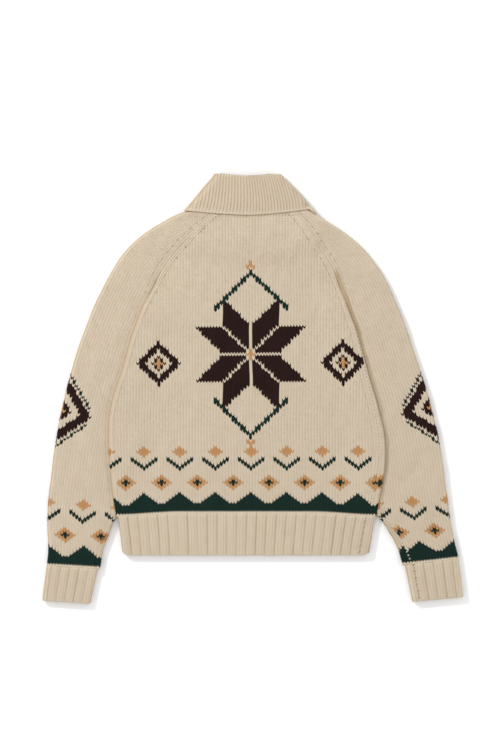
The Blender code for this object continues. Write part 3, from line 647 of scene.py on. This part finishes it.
def finishEdges(columns, relief, paintedShade, outward, turnIn):   # draws edges in, paints shade on edges and steep sides, sews seams
    for edge in ((slice(None), 0), (slice(None), -1), (0 if turnIn else -1, slice(None))):
        relief[edge] = np.minimum(relief[edge], knit["edge"])
        paintedShade[edge] = np.maximum(paintedShade[edge], knit["edgeShade"])
    joint = slice(-2, None) if turnIn else slice(0, 2)
    relief[joint] = np.maximum(relief[joint], knit["joined"]["least"])
    paintedShade[joint] *= knit["joined"]["shade"]
    creaseShade, seam, dots = knit["creaseShade"], knit["neckSeam"], knit["dots"]
    steep = creaseShade["shade"] * smooth((creaseShade["start"] - abs(outward[..., 2])) / creaseShade["run"])
    steep *= np.maximum(columns.get("creaseShade", 0.0), knit["lampSideShade"] * (outward[..., 0] < 0))
    paintedShade[:] = 1 - (1 - paintedShade) * (1 - columns.get("sideShade", 0.0)) * (1 - steep)
    if columns.get("neckSeam"):
        sew(relief, paintedShade, seam["row"], columns["phase"] < 2, seam)
    number = np.arange(len(relief))
    sewn, deep = number < columns.get("markFrom", len(relief)), number % dots["run"] == 0
    for side, beside in ((0, 1), (-1, -2)):
        sew(relief, paintedShade, (sewn, side), deep[sewn], dots)
        if "groove" in columns:   # wider in the ribs
            relief[sewn & deep, beside] = dots["beside"] * dots["relief"][0]
            paintedShade[sewn & deep, beside] = dots["shade"][0]


def makeMesh(name, grid, index, paintedShade, maps, colours):   # points that share an index are one
    tall, wide = index.shape
    corners = [(0, 0), (0, 1), (1, 1), (1, 0)]

    def cells(values):
        return np.stack([values[i:tall - 1 + i, j:wide - 1 + j] for i, j in corners], axis=2)

    # Quads, or triangles where two columns have merged
    points = cells(index).reshape(-1, 4)
    closedLow, closedHigh = points[:, 0] == points[:, 1], points[:, 2] == points[:, 3]
    groups = [(~closedLow & ~closedHigh, [0, 1, 2, 3]), (closedLow & ~closedHigh, [0, 2, 3]),
              (closedHigh & ~closedLow, [0, 1, 2])]
    kept = np.unique(np.concatenate([points[chosen].ravel() for chosen, _ in groups]))
    renumber = np.zeros(tall * wide, int)
    renumber[kept] = np.arange(len(kept))
    faces = [face for chosen, order in groups for face in renumber[points[chosen][:, order]].tolist()]
    mesh = bpy.data.meshes.new(name)
    mesh.from_pydata(grid.reshape(-1, 3)[kept].tolist(), [], faces)
    for label, values in maps.items():
        values = cells(values).reshape(-1, 4, 2)
        loops = np.concatenate([values[chosen][:, order].reshape(-1, 2) for chosen, order in groups])
        mesh.uv_layers.new(name=label).data.foreach_set("uv", loops.astype(np.float32).ravel())
    # each point's share of painted shade, read by the wool's material
    mesh.attributes.new("paintedShade", "FLOAT", "POINT").data.foreach_set(
        "value", paintedShade.reshape(-1)[kept].astype(np.float32))
    colours = colours[:-1, :-1].reshape(-1)
    used, slots = np.unique(np.concatenate([colours[chosen] for chosen, _ in groups]), return_inverse=True)
    for colour in used:
        mesh.materials.append(wools[colour])
    mesh.polygons.foreach_set("material_index", slots.astype(np.int32))
    mesh.shade_smooth()
    print(f"{name}: {sum(len(face) - 2 for face in faces)} triangles")
    return addObject(name, mesh)


def knitSheet(name, columns, middle, outward, thickness, chart, turnIn=False):
    # The outer face of a knitted piece, stitch by stitch, with its edges turned in
    rows, count = middle.shape[:2]
    number = np.arange(rows)
    upward = unit(np.gradient(middle, axis=0))
    normal = unit(outward - upward * np.sum(outward * upward, axis=2, keepdims=True))
    relief, lean, paintedShade = raisePattern(columns, rows)
    finishEdges(columns, relief, paintedShade, outward, turnIn)
    lean = lean * np.minimum(1, np.minimum(number, rows - 1 - number) / 2)[:, None]
    outer = middle + normal * (thickness / 2 + relief)[..., None] + upward * lean[..., None]
    inner = middle - normal * thickness / 2

    # Rows and columns of the mesh: the outer face, then a rim on the inner face all round.
    # Each has its row or column of the cloth, whether it's inside, and its shift on the flat maps.
    rowList, columnList = ([(0, True, -thickness), *[(k, False, 0.0) for k in range(size)],
                            (size - 1, True, thickness)] for size in (rows, count))
    if turnIn:
        rowList = [(k, True, -thickness - k * knit["row"] / 2) for k in knit["turnIn"]] + rowList
    rowAt, rowIn, rowShift = (np.array(part) for part in zip(*rowList))
    columnAt, columnIn, columnShift = (np.array(part) for part in zip(*columnList))
    pick = np.ix_(rowAt, columnAt)
    hidden = rowIn[:, None] | columnIn[None, :]
    grid = np.where(hidden[..., None], inner[pick], outer[pick])
    # hidden rims get a fixed share of painted shade
    paintedShade = np.where(hidden, knit["rimShade"], paintedShade[pick])
    tall, wide = hidden.shape
    owner = np.where(columnIn[None, :], np.arange(wide)[None, :], columns["owner"][pick] + 1)
    index = np.arange(tall)[:, None] * wide + owner
    mapX = columns["x"][pick] + columnShift[None, :]
    mapY = np.broadcast_to((rowAt * knit["row"] / 2 + rowShift)[:, None], mapX.shape)
    margin = knit["mapMargin"]
    span = max(np.ptp(mapX), np.ptp(mapY)) * (1 + 2 * margin)
    bakeMap = np.stack([(mapX - mapX.min()) / span + margin, (mapY - mapY.min()) / span + margin], axis=2)
    stitchMap = np.stack([np.broadcast_to(columns["across"][columnAt][None, :], mapX.shape),
                          np.broadcast_to((rowAt / 2)[:, None], mapX.shape)], axis=2)
    wales = columns["wale"][pick]
    stitches = np.broadcast_to((np.minimum(rowAt, rows - 2) // 2)[:, None], wales.shape)
    colours = chart(wales, stitches)
    if columns.get("seamDots"):   # the sewing yarn shows between them
        shown = rowAt % knit["dots"]["run"] == 1
        colours[shown[:, None] & ((columnAt < 1) | (columnAt >= count - 2))[None, :]] = 0
    return makeMesh(name, grid, index, paintedShade, {"OFBake": bakeMap, "stitches": stitchMap}, colours)


def plainChart(wale, row):
    return np.zeros(wale.shape, int)


def dress(piece, node):
    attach(piece, "root")
    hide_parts(node)


# Charts of the colour work: 0 cream, 1 brown, 2 green, 3 tan

def starPetals(across, up, size):   # eight petals round a middle
    long, short = np.maximum(across, up), np.minimum(across, up)
    return (short >= 1) & (short <= size) & (long - short >= 1) & (long - short <= size)


def drawDiamond(colours, across, up, size):   # stepped, with an open ring and a tan middle
    reach = across + up
    ring = (reach <= size * 0.62) & (reach > size * 0.36)
    colours[(reach <= size) & ~ring] = 1
    colours[reach <= 1] = 3


border = {"period": 12, "base": (1, 4), "hillTop": 9, "lozengeRow": 14, "chevronRow": 20, "smallRow": 28}


def borderChart(wale, row):   # hills, lozenges, chevrons and small lozenges
    half = border["period"] // 2
    away = abs(np.mod(wale + half, border["period"]) - half)   # from the middle of a hill
    low, high = border["base"]
    colours = np.zeros(wale.shape, int)
    colours[(row >= low) & (row < high)] = 2
    colours[(row == high) & (np.mod(wale, 2) == 0)] = 2
    colours[(row >= high) & (away <= border["hillTop"] - row)] = 2
    lozenge = np.where(row > border["hillTop"] + 1, abs(row - border["lozengeRow"]) + half - away, half)
    colours[lozenge <= 3] = 3
    colours[lozenge <= 1] = 2
    chevron = row - border["chevronRow"] - away
    colours[(chevron >= 0) & (chevron <= 1) & (away <= 4)] = 2
    colours[abs(row - border["smallRow"]) + away <= 2] = 3
    return colours


def stepped(row, middle):   # rows are lower than wales are wide
    return np.round(abs(row - middle) * knit["row"] / knit["wale"]).astype(int)


print("charts ready")

# Back

back = {"slot": "knit", "waleMiddle": -0.004, "starRow": 72, "starSize": 9, "sideRow": 68, "sideWale": 31,
        "sideSize": 7, "leftShade": (0.0030, 0.0050, 0.18)}   # width, fade and depth of the painted shade beside the left seam


def backChart(wale, row):
    colours = borderChart(wale, row)
    across, up = abs(wale), stepped(row, back["starRow"])
    reach, frame = across + up, 3 * back["starSize"]
    colours[starPetals(across, up, back["starSize"])] = 1
    colours[(reach >= frame) & (reach <= frame + 1) & (across <= back["starSize"] + 3)] = 2
    colours[(reach >= frame + 3) & (reach <= frame + 4) & (across <= 1)] = 3
    colours[reach <= 1] = 3
    drawDiamond(colours, abs(across - back["sideWale"]), stepped(row, back["sideRow"]), back["sideSize"])
    return colours


def paintedShadeStrip(fromSide, width, fade):   # share of painted shade: full beside a seam, then fading out
    return smooth((width + fade - fromSide) / fade)


tubes, rolls = bodyTubes()
middleLine = tubes[:, 0:2] + tubes[:, 2:4] * tubes[:, 11:12] / 2
places = evenPlaces(middleLine, knit["row"])
bodyFine, rollFine = denseTubes(tubes, places), spline(rolls, places)
whole = 2 * topWay(bodyFine)
turned = np.where(rollFine[:, 1] > garment["sideAngle"], rollFine[:, 2], 0.0)
leftSide = bodyRadius * (pi / 2 - rollFine[:, 0])
rightSide = topWay(bodyFine) - bodyRadius * (pi / 2 - rollFine[:, 1]) - turned
markFrom = int(np.argmax(rollFine[:, 0] < garment["raglanAngle"]))
columns = stockingColumns(wayToX(bodyFine, back["waleMiddle"], False), leftSide, rightSide, markFrom)
# a neck seam, and painted shade on the back's steep sides
columns["neckSeam"], columns["creaseShade"] = True, 1.0
middle, outward = tubeSurface(bodyFine, columns["ways"])
# painted shade on the back beside the left seam, below the raglan
width, fade, depth = back["leftShade"]
belowRaglan = rollFine[:, 0:1] > garment["raglanAngle"]
columns["sideShade"] = depth * paintedShadeStrip(columns["ways"] - leftSide[:, None], width, fade) * belowRaglan
bendToNeck(middle, "back", places)
sagSides(middle)
settle(middle, outward)
piece = knitSheet("backPanel", columns, middle, outward, garment["wall"], backChart)
dress(piece, "back")

# Fronts

fronts = {"bandHalf": 0.018, "riseRun": 0.035, "bandLevel": 0.0054, "slot": "knit",
          "motifWale": 19, "motifRow": 66, "motifSize": 8}


def frontChart(wale, row):
    colours = borderChart(wale, row)
    across, up = abs(abs(wale) - fronts["motifWale"]), stepped(row, fronts["motifRow"])
    drawDiamond(colours, across, up, fronts["motifSize"])
    return colours


def climb(middle, low):   # the right front climbs on to the left one's band
    share = smooth(1 - (middle[..., 0] - fronts["bandHalf"]) / fronts["riseRun"])
    return (fronts["bandLevel"] - low) * share


leftBand = wayToX(bodyFine, -fronts["bandHalf"], True)
rightBand = wayToX(bodyFine, fronts["bandHalf"], True)
rightStart = np.where(rollFine[:, 1] > garment["sideAngle"], rightSide,
                      topWay(bodyFine) + bodyRadius * (pi / 2 - rollFine[:, 1]))
for name, node, start, end, origin in (
        ("frontPanelLeft", "front_left", leftBand, whole - leftSide, leftBand),
        ("frontPanelRight", "front_right", rightStart, rightBand, rightBand)):
    columns = stockingColumns(origin, start, end, markFrom)
    # painted shade on the fronts' steep sides
    columns["creaseShade"] = 1.0
    columns["marks"] = columns["marks"][1:] if node == "front_left" else columns["marks"][:1]
    middle, outward = tubeSurface(bodyFine, columns["ways"])
    bendToNeck(middle, "front", places)
    if node == "front_right":
        middle[..., 2] += climb(middle, garment["lowLayer"])
    sagSides(middle)
    settle(middle, outward)
    piece = knitSheet(name, columns, middle, outward, garment["wall"], frontChart)
    dress(piece, node)
print("body knitted")

# Sleeves

sleeve = {
    "slot": "sleeve_knit", "elbowRow": 68, "motif": 10,
    # Painted shadow on the sleeves beside the body, where the body's side shades them: width, fade, and depth
    # at two heights
    "sideShade": {-1: (0.0060, 0.0120, (0.12, 0.12)), 1: (0.0062, 0.0020, (0.32, 0.85))},
    "shadeRun": (-0.050, 0.160),
    "shadeTop": 0.034,        # it ends this far above the underarm
    "shadeFade": 0.015,
}
# How far the right sleeve's seam is turned on to the top, by y
wristTurn = [(-0.400, 0.013), (-0.3205, 0.016), (-0.267, 0.012), (-0.236, 0.003), (-0.205, 0.0)]


def sleeveChart(wale, row):
    colours = borderChart(wale, row)
    across, up = abs(wale), stepped(row, sleeve["elbowRow"])
    drawDiamond(colours, across, up, sleeve["motif"])
    colours[(across + up == sleeve["motif"] + 2) & (across < sleeve["motif"])] = 2
    return colours


def turnWrist(y, side):
    return atHeight(wristTurn, y) if side > 0 else np.zeros_like(y)


for name, node, side in (("sleeveLeft", "sleeve_left", -1), ("sleeveRight", "sleeve_right", 1)):
    tubes, angles = sleeveTubes(side)
    middleLine = (seamSide(sleeveRows, side) + outerSide(sleeveRows, side)) / 2
    sleevePlaces = evenPlaces(middleLine, knit["row"])
    fine, angleFine = denseTubes(tubes, sleevePlaces), spline(angles[:, None], sleevePlaces)[:, 0]
    turn = turnWrist(fine[:, 1], side)
    start = fine[:, 6] * (pi / 2 - angleFine)
    end = 2 * topWay(fine) - start
    raglanFrom = int(np.argmax(angleFine < garment["raglanAngle"]))
    columns = stockingColumns(topWay(fine), start + turn, end + turn, raglanFrom)
    columns["seamDots"] = True
    middle, outward = tubeSurface(fine, columns["ways"])
    # painted shadow beside the body, fading out above the underarm
    width, fade, depths = sleeve["sideShade"][side]
    fromSide = np.sum((middle[..., 0:2] - fine[:, None, 0:2]) * fine[:, None, 2:4], axis=2)
    top = seamSide(plan[underarmRow], side)[1] + sleeve["shadeTop"]
    depth = np.interp(fine[:, 1], sleeve["shadeRun"], depths)
    depth = depth * smooth((top - fine[:, 1]) / sleeve["shadeFade"])
    columns["sideShade"] = paintedShadeStrip(fromSide, width, fade) * depth[:, None]
    settle(middle, outward)
    piece = knitSheet(name, columns, middle, outward, garment["wall"], sleeveChart)
    dress(piece, node)
print("sleeves knitted")

# Ribbed hem and cuffs

rib = {
    "slot": "rib",
    "hemPitch": 0.0172,
    "cuffPitch": 0.0164,
    "cuffRadius": 0.0032,
    "steps": 12,              # mesh columns in a rib: three knit wales and a hidden purl one
    "grooveDepth": {"usual": 0.88, "spread": 0.12, "least": 0.6, "most": 1.1},
    "swell": 1.2,
    "round": 0.8,
    "sink": 0.3,
    # painted shade beside each groove
    "besideShade": 0.42,
    "cornerRise": 0.007,
    "cornerRun": 0.016,
    "cornerShare": (1.0, 0.3, 0.0),   # along the hem's rows
    "climbBelow": 0.0087,     # the upper layer, above this, doesn't climb on to the band
    "opened": 4 / 3,
}


def ribColumns(starts, ends, pitch):
    each = rib["steps"]
    ribs = max(int(round(abs(ends[0] - starts[0]) / pitch)), 1)
    step = np.arange(ribs * each + 1)
    ways = starts[:, None] + (ends - starts)[:, None] * (step / (ribs * each))
    columns = straightColumns(ways, ways - starts[:, None])
    columns["phase"], columns["across"], columns["groove"] = step % 4, step / 4, step % each == 0
    usual, spread, least, most = rib["grooveDepth"].values()
    depths = np.clip(chance.normal(usual, spread, ribs + 1), least, most)
    columns["depth"] = np.repeat(depths, each)[each // 2:each // 2 + len(step)]
    crown = np.sin(pi * (step % each) / each) ** rib["round"]
    columns["swell"] = crown * rib["swell"] - rib["sink"] * columns["depth"]
    columns["besideShade"] = rib["besideShade"]
    return columns


hemRadius = (garment["ribHigh"] - ribLow) / 2
hemCoarse = spline(hemEnds, (0, 0.67, 1.33, 2))[::-1]
hemTubes = np.array([ribTube(row[0:2], row[2:4], hemRadius) for row in hemCoarse])
hemPlaces = evenPlaces(hemCoarse[:, 0:2], knit["row"])
hemFine = denseTubes(hemTubes, hemPlaces)
hemTop, hemTurn = topWay(hemFine), atHeight(sideTurn, hemFine[:, 1])


def roundCorners(middle):
    share = np.interp(hemPlaces, np.arange(len(hemEnds)), rib["cornerShare"])[:, None]
    leftX = hemFine[:, 0:1]
    rightX = leftX + hemFine[:, 2:3] * hemFine[:, 11:12]
    fromSide = np.minimum(middle[..., 0] - leftX, rightX - middle[..., 0])
    middle[..., 1] += rib["cornerRise"] * share * np.clip(1 - fromSide / rib["cornerRun"], 0, 1) ** 2


leftEnd, rightEnd = (wayToX(hemFine, side * fronts["bandHalf"], True) for side in (-1, 1))
for name, node, start, end, under in (
        ("hemRibBack", "hem_rib_back", hemTop * 0, hemTop - hemTurn, "front_left"),
        ("hemRibFrontLeft", "hem_rib_front_left", leftEnd, 2 * hemTop, "floor"),
        ("hemRibFrontRight", "hem_rib_front_right", hemTop - hemTurn, rightEnd, "floor")):
    columns = ribColumns(start, end, rib["hemPitch"])
    middle, outward = tubeSurface(hemFine, columns["ways"])
    roundCorners(middle)
    sagSides(middle)
    if node == "hem_rib_front_right":
        middle[..., 2] += np.where(middle[..., 2] <= rib["climbBelow"], climb(middle, ribLow), 0.0)
    piece = knitSheet(name, columns, middle, outward, garment["ribCore"], plainChart, turnIn=True)
    dress(piece, node)

for name, node, side in (("cuffLeft", "cuff_left", -1), ("cuffRight", "cuff_right", 1)):
    hand, arm = wrists[4], wrists[3]
    rows = [hand + (arm - hand) * share for share in (0.0, 0.33, 0.67, 1.0)]
    tubes = np.array([ribTube(seamSide(row, side), outerSide(row, side), rib["cuffRadius"]) for row in rows])
    fine = denseTubes(tubes, evenPlaces(tubes[:, 0:2], knit["row"]))
    turn = turnWrist(fine[:, 1], side)
    columns = ribColumns(turn, 2 * topWay(fine) + turn, rib["cuffPitch"])
    middle, outward = tubeSurface(fine, columns["ways"])
    piece = knitSheet(name, columns, middle, outward, garment["ribCore"], plainChart, turnIn=True)
    dress(piece, node)
print("ribs knitted")

# Collar: a strip of fine rib, folded over itself

collar = {
    "slot": "collar_rib",
    "middle": 0.0113,         # height of the fold's middle
    "fall": 0.0084,           # half the height between the fall's two sides
    "stand": 0.0038,
    "bulge": 0.87,            # the fold stands out
    "underBack": 0.0018,      # and the under layer stays back from it
    "neckGap": 0.0009,
    "capClearance": 0.0018,
    "backCurve": 1.5,
    "frontCurve": 2.2,
    "flare": 0.8,             # the right end hangs lower, and this much of that further out
    "ribs": 27,
    "pitch": 0.0054,
    "swell": (0.4, 0.25, 0.45, 0.25),
    "grooveDepth": 0.92,
    # painted shade beside each groove, less on each wale's heart
    "besideShade": 0.42,
    "heartShade": 0.5,
    "legShift": 0.0010,
    "opened": 1.4,
}
fall, stand = collar["fall"], collar["stand"]
bulge = (fall - stand) / 2
foldY = collar["bulge"] * bulge
underY = foldY - collar["underBack"]
# Half flat width, middle x, half height, y at the back's middle, left, right and front, drop, opening
collarLevels = [
    (0.1120, -0.0082, fall - 0.0022, 0.3208, 0.3284, 0.3318, 0.2680, 0.0085, 0.0800),   # outer edge
    (0.0910, -0.0070, fall, 0.3430, 0.3505, 0.3510, 0.2930, 0.0010, 0.0540),
    (0.0720, -0.0078, fall, 0.3690, 0.3730, 0.3725, 0.3180, 0.0, 0.0270),
    (0.0540, -0.0095, fall, 0.3895, 0.3928, 0.3925, 0.3400, 0.0, 0.0020),      # fold
    *[(0.0490, -0.0110, height, 0.3895 + out, 0.3932 + out, 0.3932 + out, 0.3400 + out, 0.0, 0.0010)
      for height, out in ((fall - 0.5 * bulge, foldY), (stand + 0.5 * bulge, underY))],
    (0.0540, -0.0090, stand, 0.3885, 0.3910, 0.3905, 0.3400, 0.0, 0.0010),
    (0.0800, -0.0030, stand, 0.0, 0.0, 0.0, 0.0, 0.0, 0.0010),                 # neck seam
]


def neckEdge(x, front):   # y of the neck seam, round the back, the sleeves' tops and the fronts
    sideX, sideY, outerX, outerY = (np.where(x < 0, plan[0, k], plan[0, k + 4]) for k in range(4))
    share = np.clip((abs(x) - abs(sideX)) / (abs(outerX) - abs(sideX)), 0, 1)
    beside = sideY + (outerY - sideY + collar["capClearance"]) * share
    return np.where(abs(x) < abs(sideX), neckLine(x) - np.where(front, neckHollow(x), 0.0), beside)


def collarLevel(level, shares):
    flat, middleX, height, backY, leftY, rightY, frontY, drop, opening = level
    side = np.where(shares < 0, -1.0, 1.0)
    roll = pi * height
    way = abs(shares) * (2 * flat + roll + side * middleX - opening)
    sideY = np.where(side < 0, leftY, rightY)
    angle = np.clip((way - flat) / height, 0, pi)
    onBack, onFront = way <= flat, way > flat + roll
    across = np.where(onBack, way, np.where(onFront, 2 * flat + roll - way, flat + height * np.sin(angle)))
    rise = np.where(onBack, height, np.where(onFront, -height, height * np.cos(angle)))
    fade = np.where(onFront, abs(across / flat) ** collar["frontCurve"], 1.0)
    dip = np.where(side < 0, 0.0, drop) * np.sin(np.minimum(angle, pi / 2)) * fade
    y = np.where(onBack, backY + (sideY - backY) * (way / flat) ** collar["backCurve"],
                 frontY + (sideY - frontY) * fade) - dip
    x = middleX + side * (across + collar["flare"] * dip)
    if backY == 0.0:   # the neck seam follows the other pieces
        y = neckEdge(x, onFront) + collar["neckGap"]
    return np.stack([x, y, collar["middle"] + rise], axis=1)


def fineRib(columns, settings):   # one knit wale, one purl
    columns["swell"] = np.array(settings["swell"])[columns["phase"]]
    columns["groove"] = columns["phase"] == 0
    columns["besideShade"] = settings["besideShade"]


steps = np.arange(-collar["ribs"] * 4, collar["ribs"] * 4 + 1)
shares = steps / (collar["ribs"] * 4)
levels = np.array([collarLevel(level, shares) for level in collarLevels])
middle = spline(levels, evenPlaces(levels[:, len(steps) // 2], knit["row"]))
outward = unit(np.cross(np.gradient(middle, axis=1), np.gradient(middle, axis=0)))
columns = straightColumns(np.tile(shares, (len(middle), 1)),
                          np.tile(shares * collar["ribs"] * collar["pitch"], (len(middle), 1)))
fineRib(columns, collar)
columns["heartShade"], columns["legShift"] = collar["heartShade"], collar["legShift"]
columns["depth"] = np.full(len(steps), collar["grooveDepth"])
columns["castOff"] = True
piece = knitSheet("collarRib", columns, middle, outward, garment["wall"], plainChart, turnIn=True)
dress(piece, "collar")
print("collar knitted")

# Bands and buttons at the front opening

band = {
    "slot": "band_knit",
    "bottom": -0.3080,
    "top": 0.2720,
    "thickness": 0.0034,
    "ribs": 7,
    "swell": (0.9, -0.1, 0.0, -0.1),
    # painted shade beside each groove
    "besideShade": 0.1,
    "hollowRise": 0.0013,     # the lower band gives way under the buttons
    "hollowRadius": 0.0112,
    "opened": 1.4,
}
button = {
    "slot": "button",
    "count": 6,
    "first": -0.285,
    "last": 0.215,
    "radius": 0.0105,
    "thickness": 0.0022,
    "rim": 0.0017,
    "dish": 0.0007,
    "holes": 0.0021,          # their distance from the middle
    "holeRadius": 0.0009,
    "thread": 0.0005,         # half its width
    "strandReach": 0.72,
    "strandHeight": 0.00035,
    "strandThickness": 0.0003,
    "roughness": 0.32,
    "specular": 0.5,
}
buttonYs = np.linspace(button["first"], button["last"], button["count"])
for name, node, level, under in (("bandOuter", "band_left", band["thickness"] / 2, "floor"),
                                 ("bandInner", "band_right", fronts["bandLevel"], "band_left")):
    rows = 2 * int(round((band["top"] - band["bottom"]) / knit["row"])) + 1
    ys = np.linspace(band["bottom"], band["top"], rows)
    xs = np.linspace(fronts["bandHalf"], -fronts["bandHalf"], band["ribs"] * 4 + 1)
    middle = np.zeros((len(ys), len(xs), 3))
    middle[..., 0], middle[..., 1] = xs[None, :], ys[:, None]
    middle[..., 2] = level + garment["lowLift"] * collarLift(middle[..., 0], middle[..., 1])
    if node == "band_left":
        for y in buttonYs:
            away = np.hypot(middle[..., 0], middle[..., 1] - y)
            middle[..., 2] += np.where(away < band["hollowRadius"], band["hollowRise"], 0.0)
    outward = np.zeros_like(middle)
    outward[..., 2] = -1.0
    columns = straightColumns(np.tile(xs, (len(ys), 1)), np.tile(-xs, (len(ys), 1)))
    fineRib(columns, band)
    piece = knitSheet(name, columns, middle, outward, band["thickness"], plainChart, turnIn=True)
    dress(piece, node)


def makeHorn():
    made, tree, shader = newMaterial("darkHorn", button["roughness"], button["specular"])
    place = addNode(tree, "ShaderNodeTexCoord").outputs["Object"]
    veins = addNode(tree, "ShaderNodeTexNoise", Vector=place, Scale=210.0, Detail=4.0, Distortion=1.2)
    ramp = addNode(tree, "ShaderNodeValToRGB", Fac=veins.outputs["Fac"])
    dark, pale = ramp.color_ramp.elements
    dark.position, dark.color = 0.35, (0.035, 0.017, 0.009, 1)
    pale.position, pale.color = 0.72, (0.16, 0.085, 0.040, 1)
    tree.links.new(ramp.outputs["Color"], shader.inputs["Base Color"])
    return made


def lathe(bm, profile, centre, sides=40):   # rings of radius and height round an upright axis
    turns = [(cos(2 * pi * k / sides), sin(2 * pi * k / sides)) for k in range(sides)]
    rings = [[bm.verts.new((centre[0] + radius * x, centre[1] + radius * y, height)) for x, y in turns]
             for radius, height in profile]
    for low, high in zip(rings, rings[1:]):
        for k in range(sides):
            bm.faces.new((low[k], low[(k + 1) % sides], high[(k + 1) % sides], high[k]))
    bm.faces.new(rings[0][::-1])
    bm.faces.new(rings[-1])


horn = makeHorn()
outer, rim, top, dish = button["radius"], button["rim"], button["thickness"], button["dish"]
# From the dish over the rim to the edge, and up to the other side
buttonProfile = [(0.0005, dish), (outer - rim * 1.6, dish), (outer - rim, 0.0002), (outer - rim * 0.5, 0.0),
                 (outer - 0.0003, 0.0003), (outer, 0.0008), (outer, top - 0.0004), (outer - 0.0005, top),
                 (0.0005, top)]
threadProfile = [(button["holeRadius"], dish - 0.00005), (button["holeRadius"], dish + 0.0004)]
for number, y in enumerate(buttonYs, 1):
    bm = bmesh.new()
    lathe(bm, buttonProfile, (0.0, y))
    bmesh.ops.recalc_face_normals(bm, faces=bm.faces)
    hornFaces = len(bm.faces)
    for k in range(4):   # thread shows in four holes
        angle = pi / 4 + k * pi / 2
        centre = (button["holes"] * cos(angle), y + button["holes"] * sin(angle))
        lathe(bm, threadProfile, centre, 12)
    reach, low = button["holes"] * button["strandReach"], button["strandHeight"]
    for slope in (1, -1):   # and in two crossed strands
        end = np.array([reach, slope * reach])
        side = button["thread"] * unit(np.array([-slope, 1.0]))
        for height in (low, low + button["strandThickness"]):
            strand = [bm.verts.new((x, y + up, height))
                      for x, up in (-end - side, end - side, end + side, side - end)]
            bm.faces.new(strand if height > low else strand[::-1])
    bm.faces.ensure_lookup_table()
    for face in bm.faces[hornFaces:]:
        face.material_index = 1
    mesh = bpy.data.meshes.new(f"button{number}")
    bm.to_mesh(mesh)
    bm.free()
    mesh.materials.append(horn)
    mesh.materials.append(wools[0])
    mesh.shade_smooth()
    mesh.set_sharp_from_angle(angle=radians(40))
    piece = addObject(f"button{number}", mesh)
    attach(piece, "root")
    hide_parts(f"button_{number}")
print("bands and buttons made")

# Floor, light and camera

studio = {
    "floorSize": 60.0,
    "floorHeight": -0.0009,
    "floorColour": 0.90,
    "floorRoughness": 0.9,
    "floorSpecular": 0.1,
    "world": 1.0,
    "lamp": 76.0,
    "lampSize": 0.25,
    "lampAt": (-2.42, 2.26, 2.26),
    "aim": (-0.00555, 0.0236),
    "cameraHeight": 5.0,
    "sensor": 36.0,
    "tall": 1.3912,           # height of the view
    "viewLevel": 0.008,       # measured on this level of the garment
}
size, low = studio["floorSize"], studio["floorHeight"]
corners = [(-size, -size, low), (size, -size, low), (size, size, low), (-size, size, low)]
mesh = bpy.data.meshes.new("floor")
mesh.from_pydata(corners, [], [(0, 1, 2, 3)])
floor = addObject("floor", mesh)
paper, tree, shader = newMaterial("paleFloor", studio["floorRoughness"], studio["floorSpecular"])
shader.inputs["Base Color"].default_value = (*[studio["floorColour"]] * 3, 1)
mesh.materials.append(paper)

world = bpy.data.worlds.new("paleRoom")
world.use_nodes = True
background = world.node_tree.nodes["Background"]
background.inputs["Color"].default_value = (1, 1, 1, 1)
background.inputs["Strength"].default_value = studio["world"]
bpy.context.scene.world = world

lamp = bpy.data.lights.new("window", "AREA")
lamp.shape = "DISK"
lamp.size = studio["lampSize"]
lamp.energy = studio["lamp"]
window = addObject("window", lamp)
window.location = studio["lampAt"]
window.rotation_mode = "QUATERNION"
window.rotation_quaternion = (-Vector(studio["lampAt"])).to_track_quat("-Z", "Y")

lens = bpy.data.cameras.new("camera")
lens.sensor_width = studio["sensor"]
lens.lens = studio["sensor"] * (studio["cameraHeight"] - studio["viewLevel"]) / studio["tall"]
lens.clip_start, lens.clip_end = 0.1, 200.0
camera = addObject("camera", lens)
camera.location = (*studio["aim"], studio["cameraHeight"])
bpy.context.scene.camera = camera
bpy.context.scene.view_settings.view_transform = "Standard"
print("floor, light and camera set")
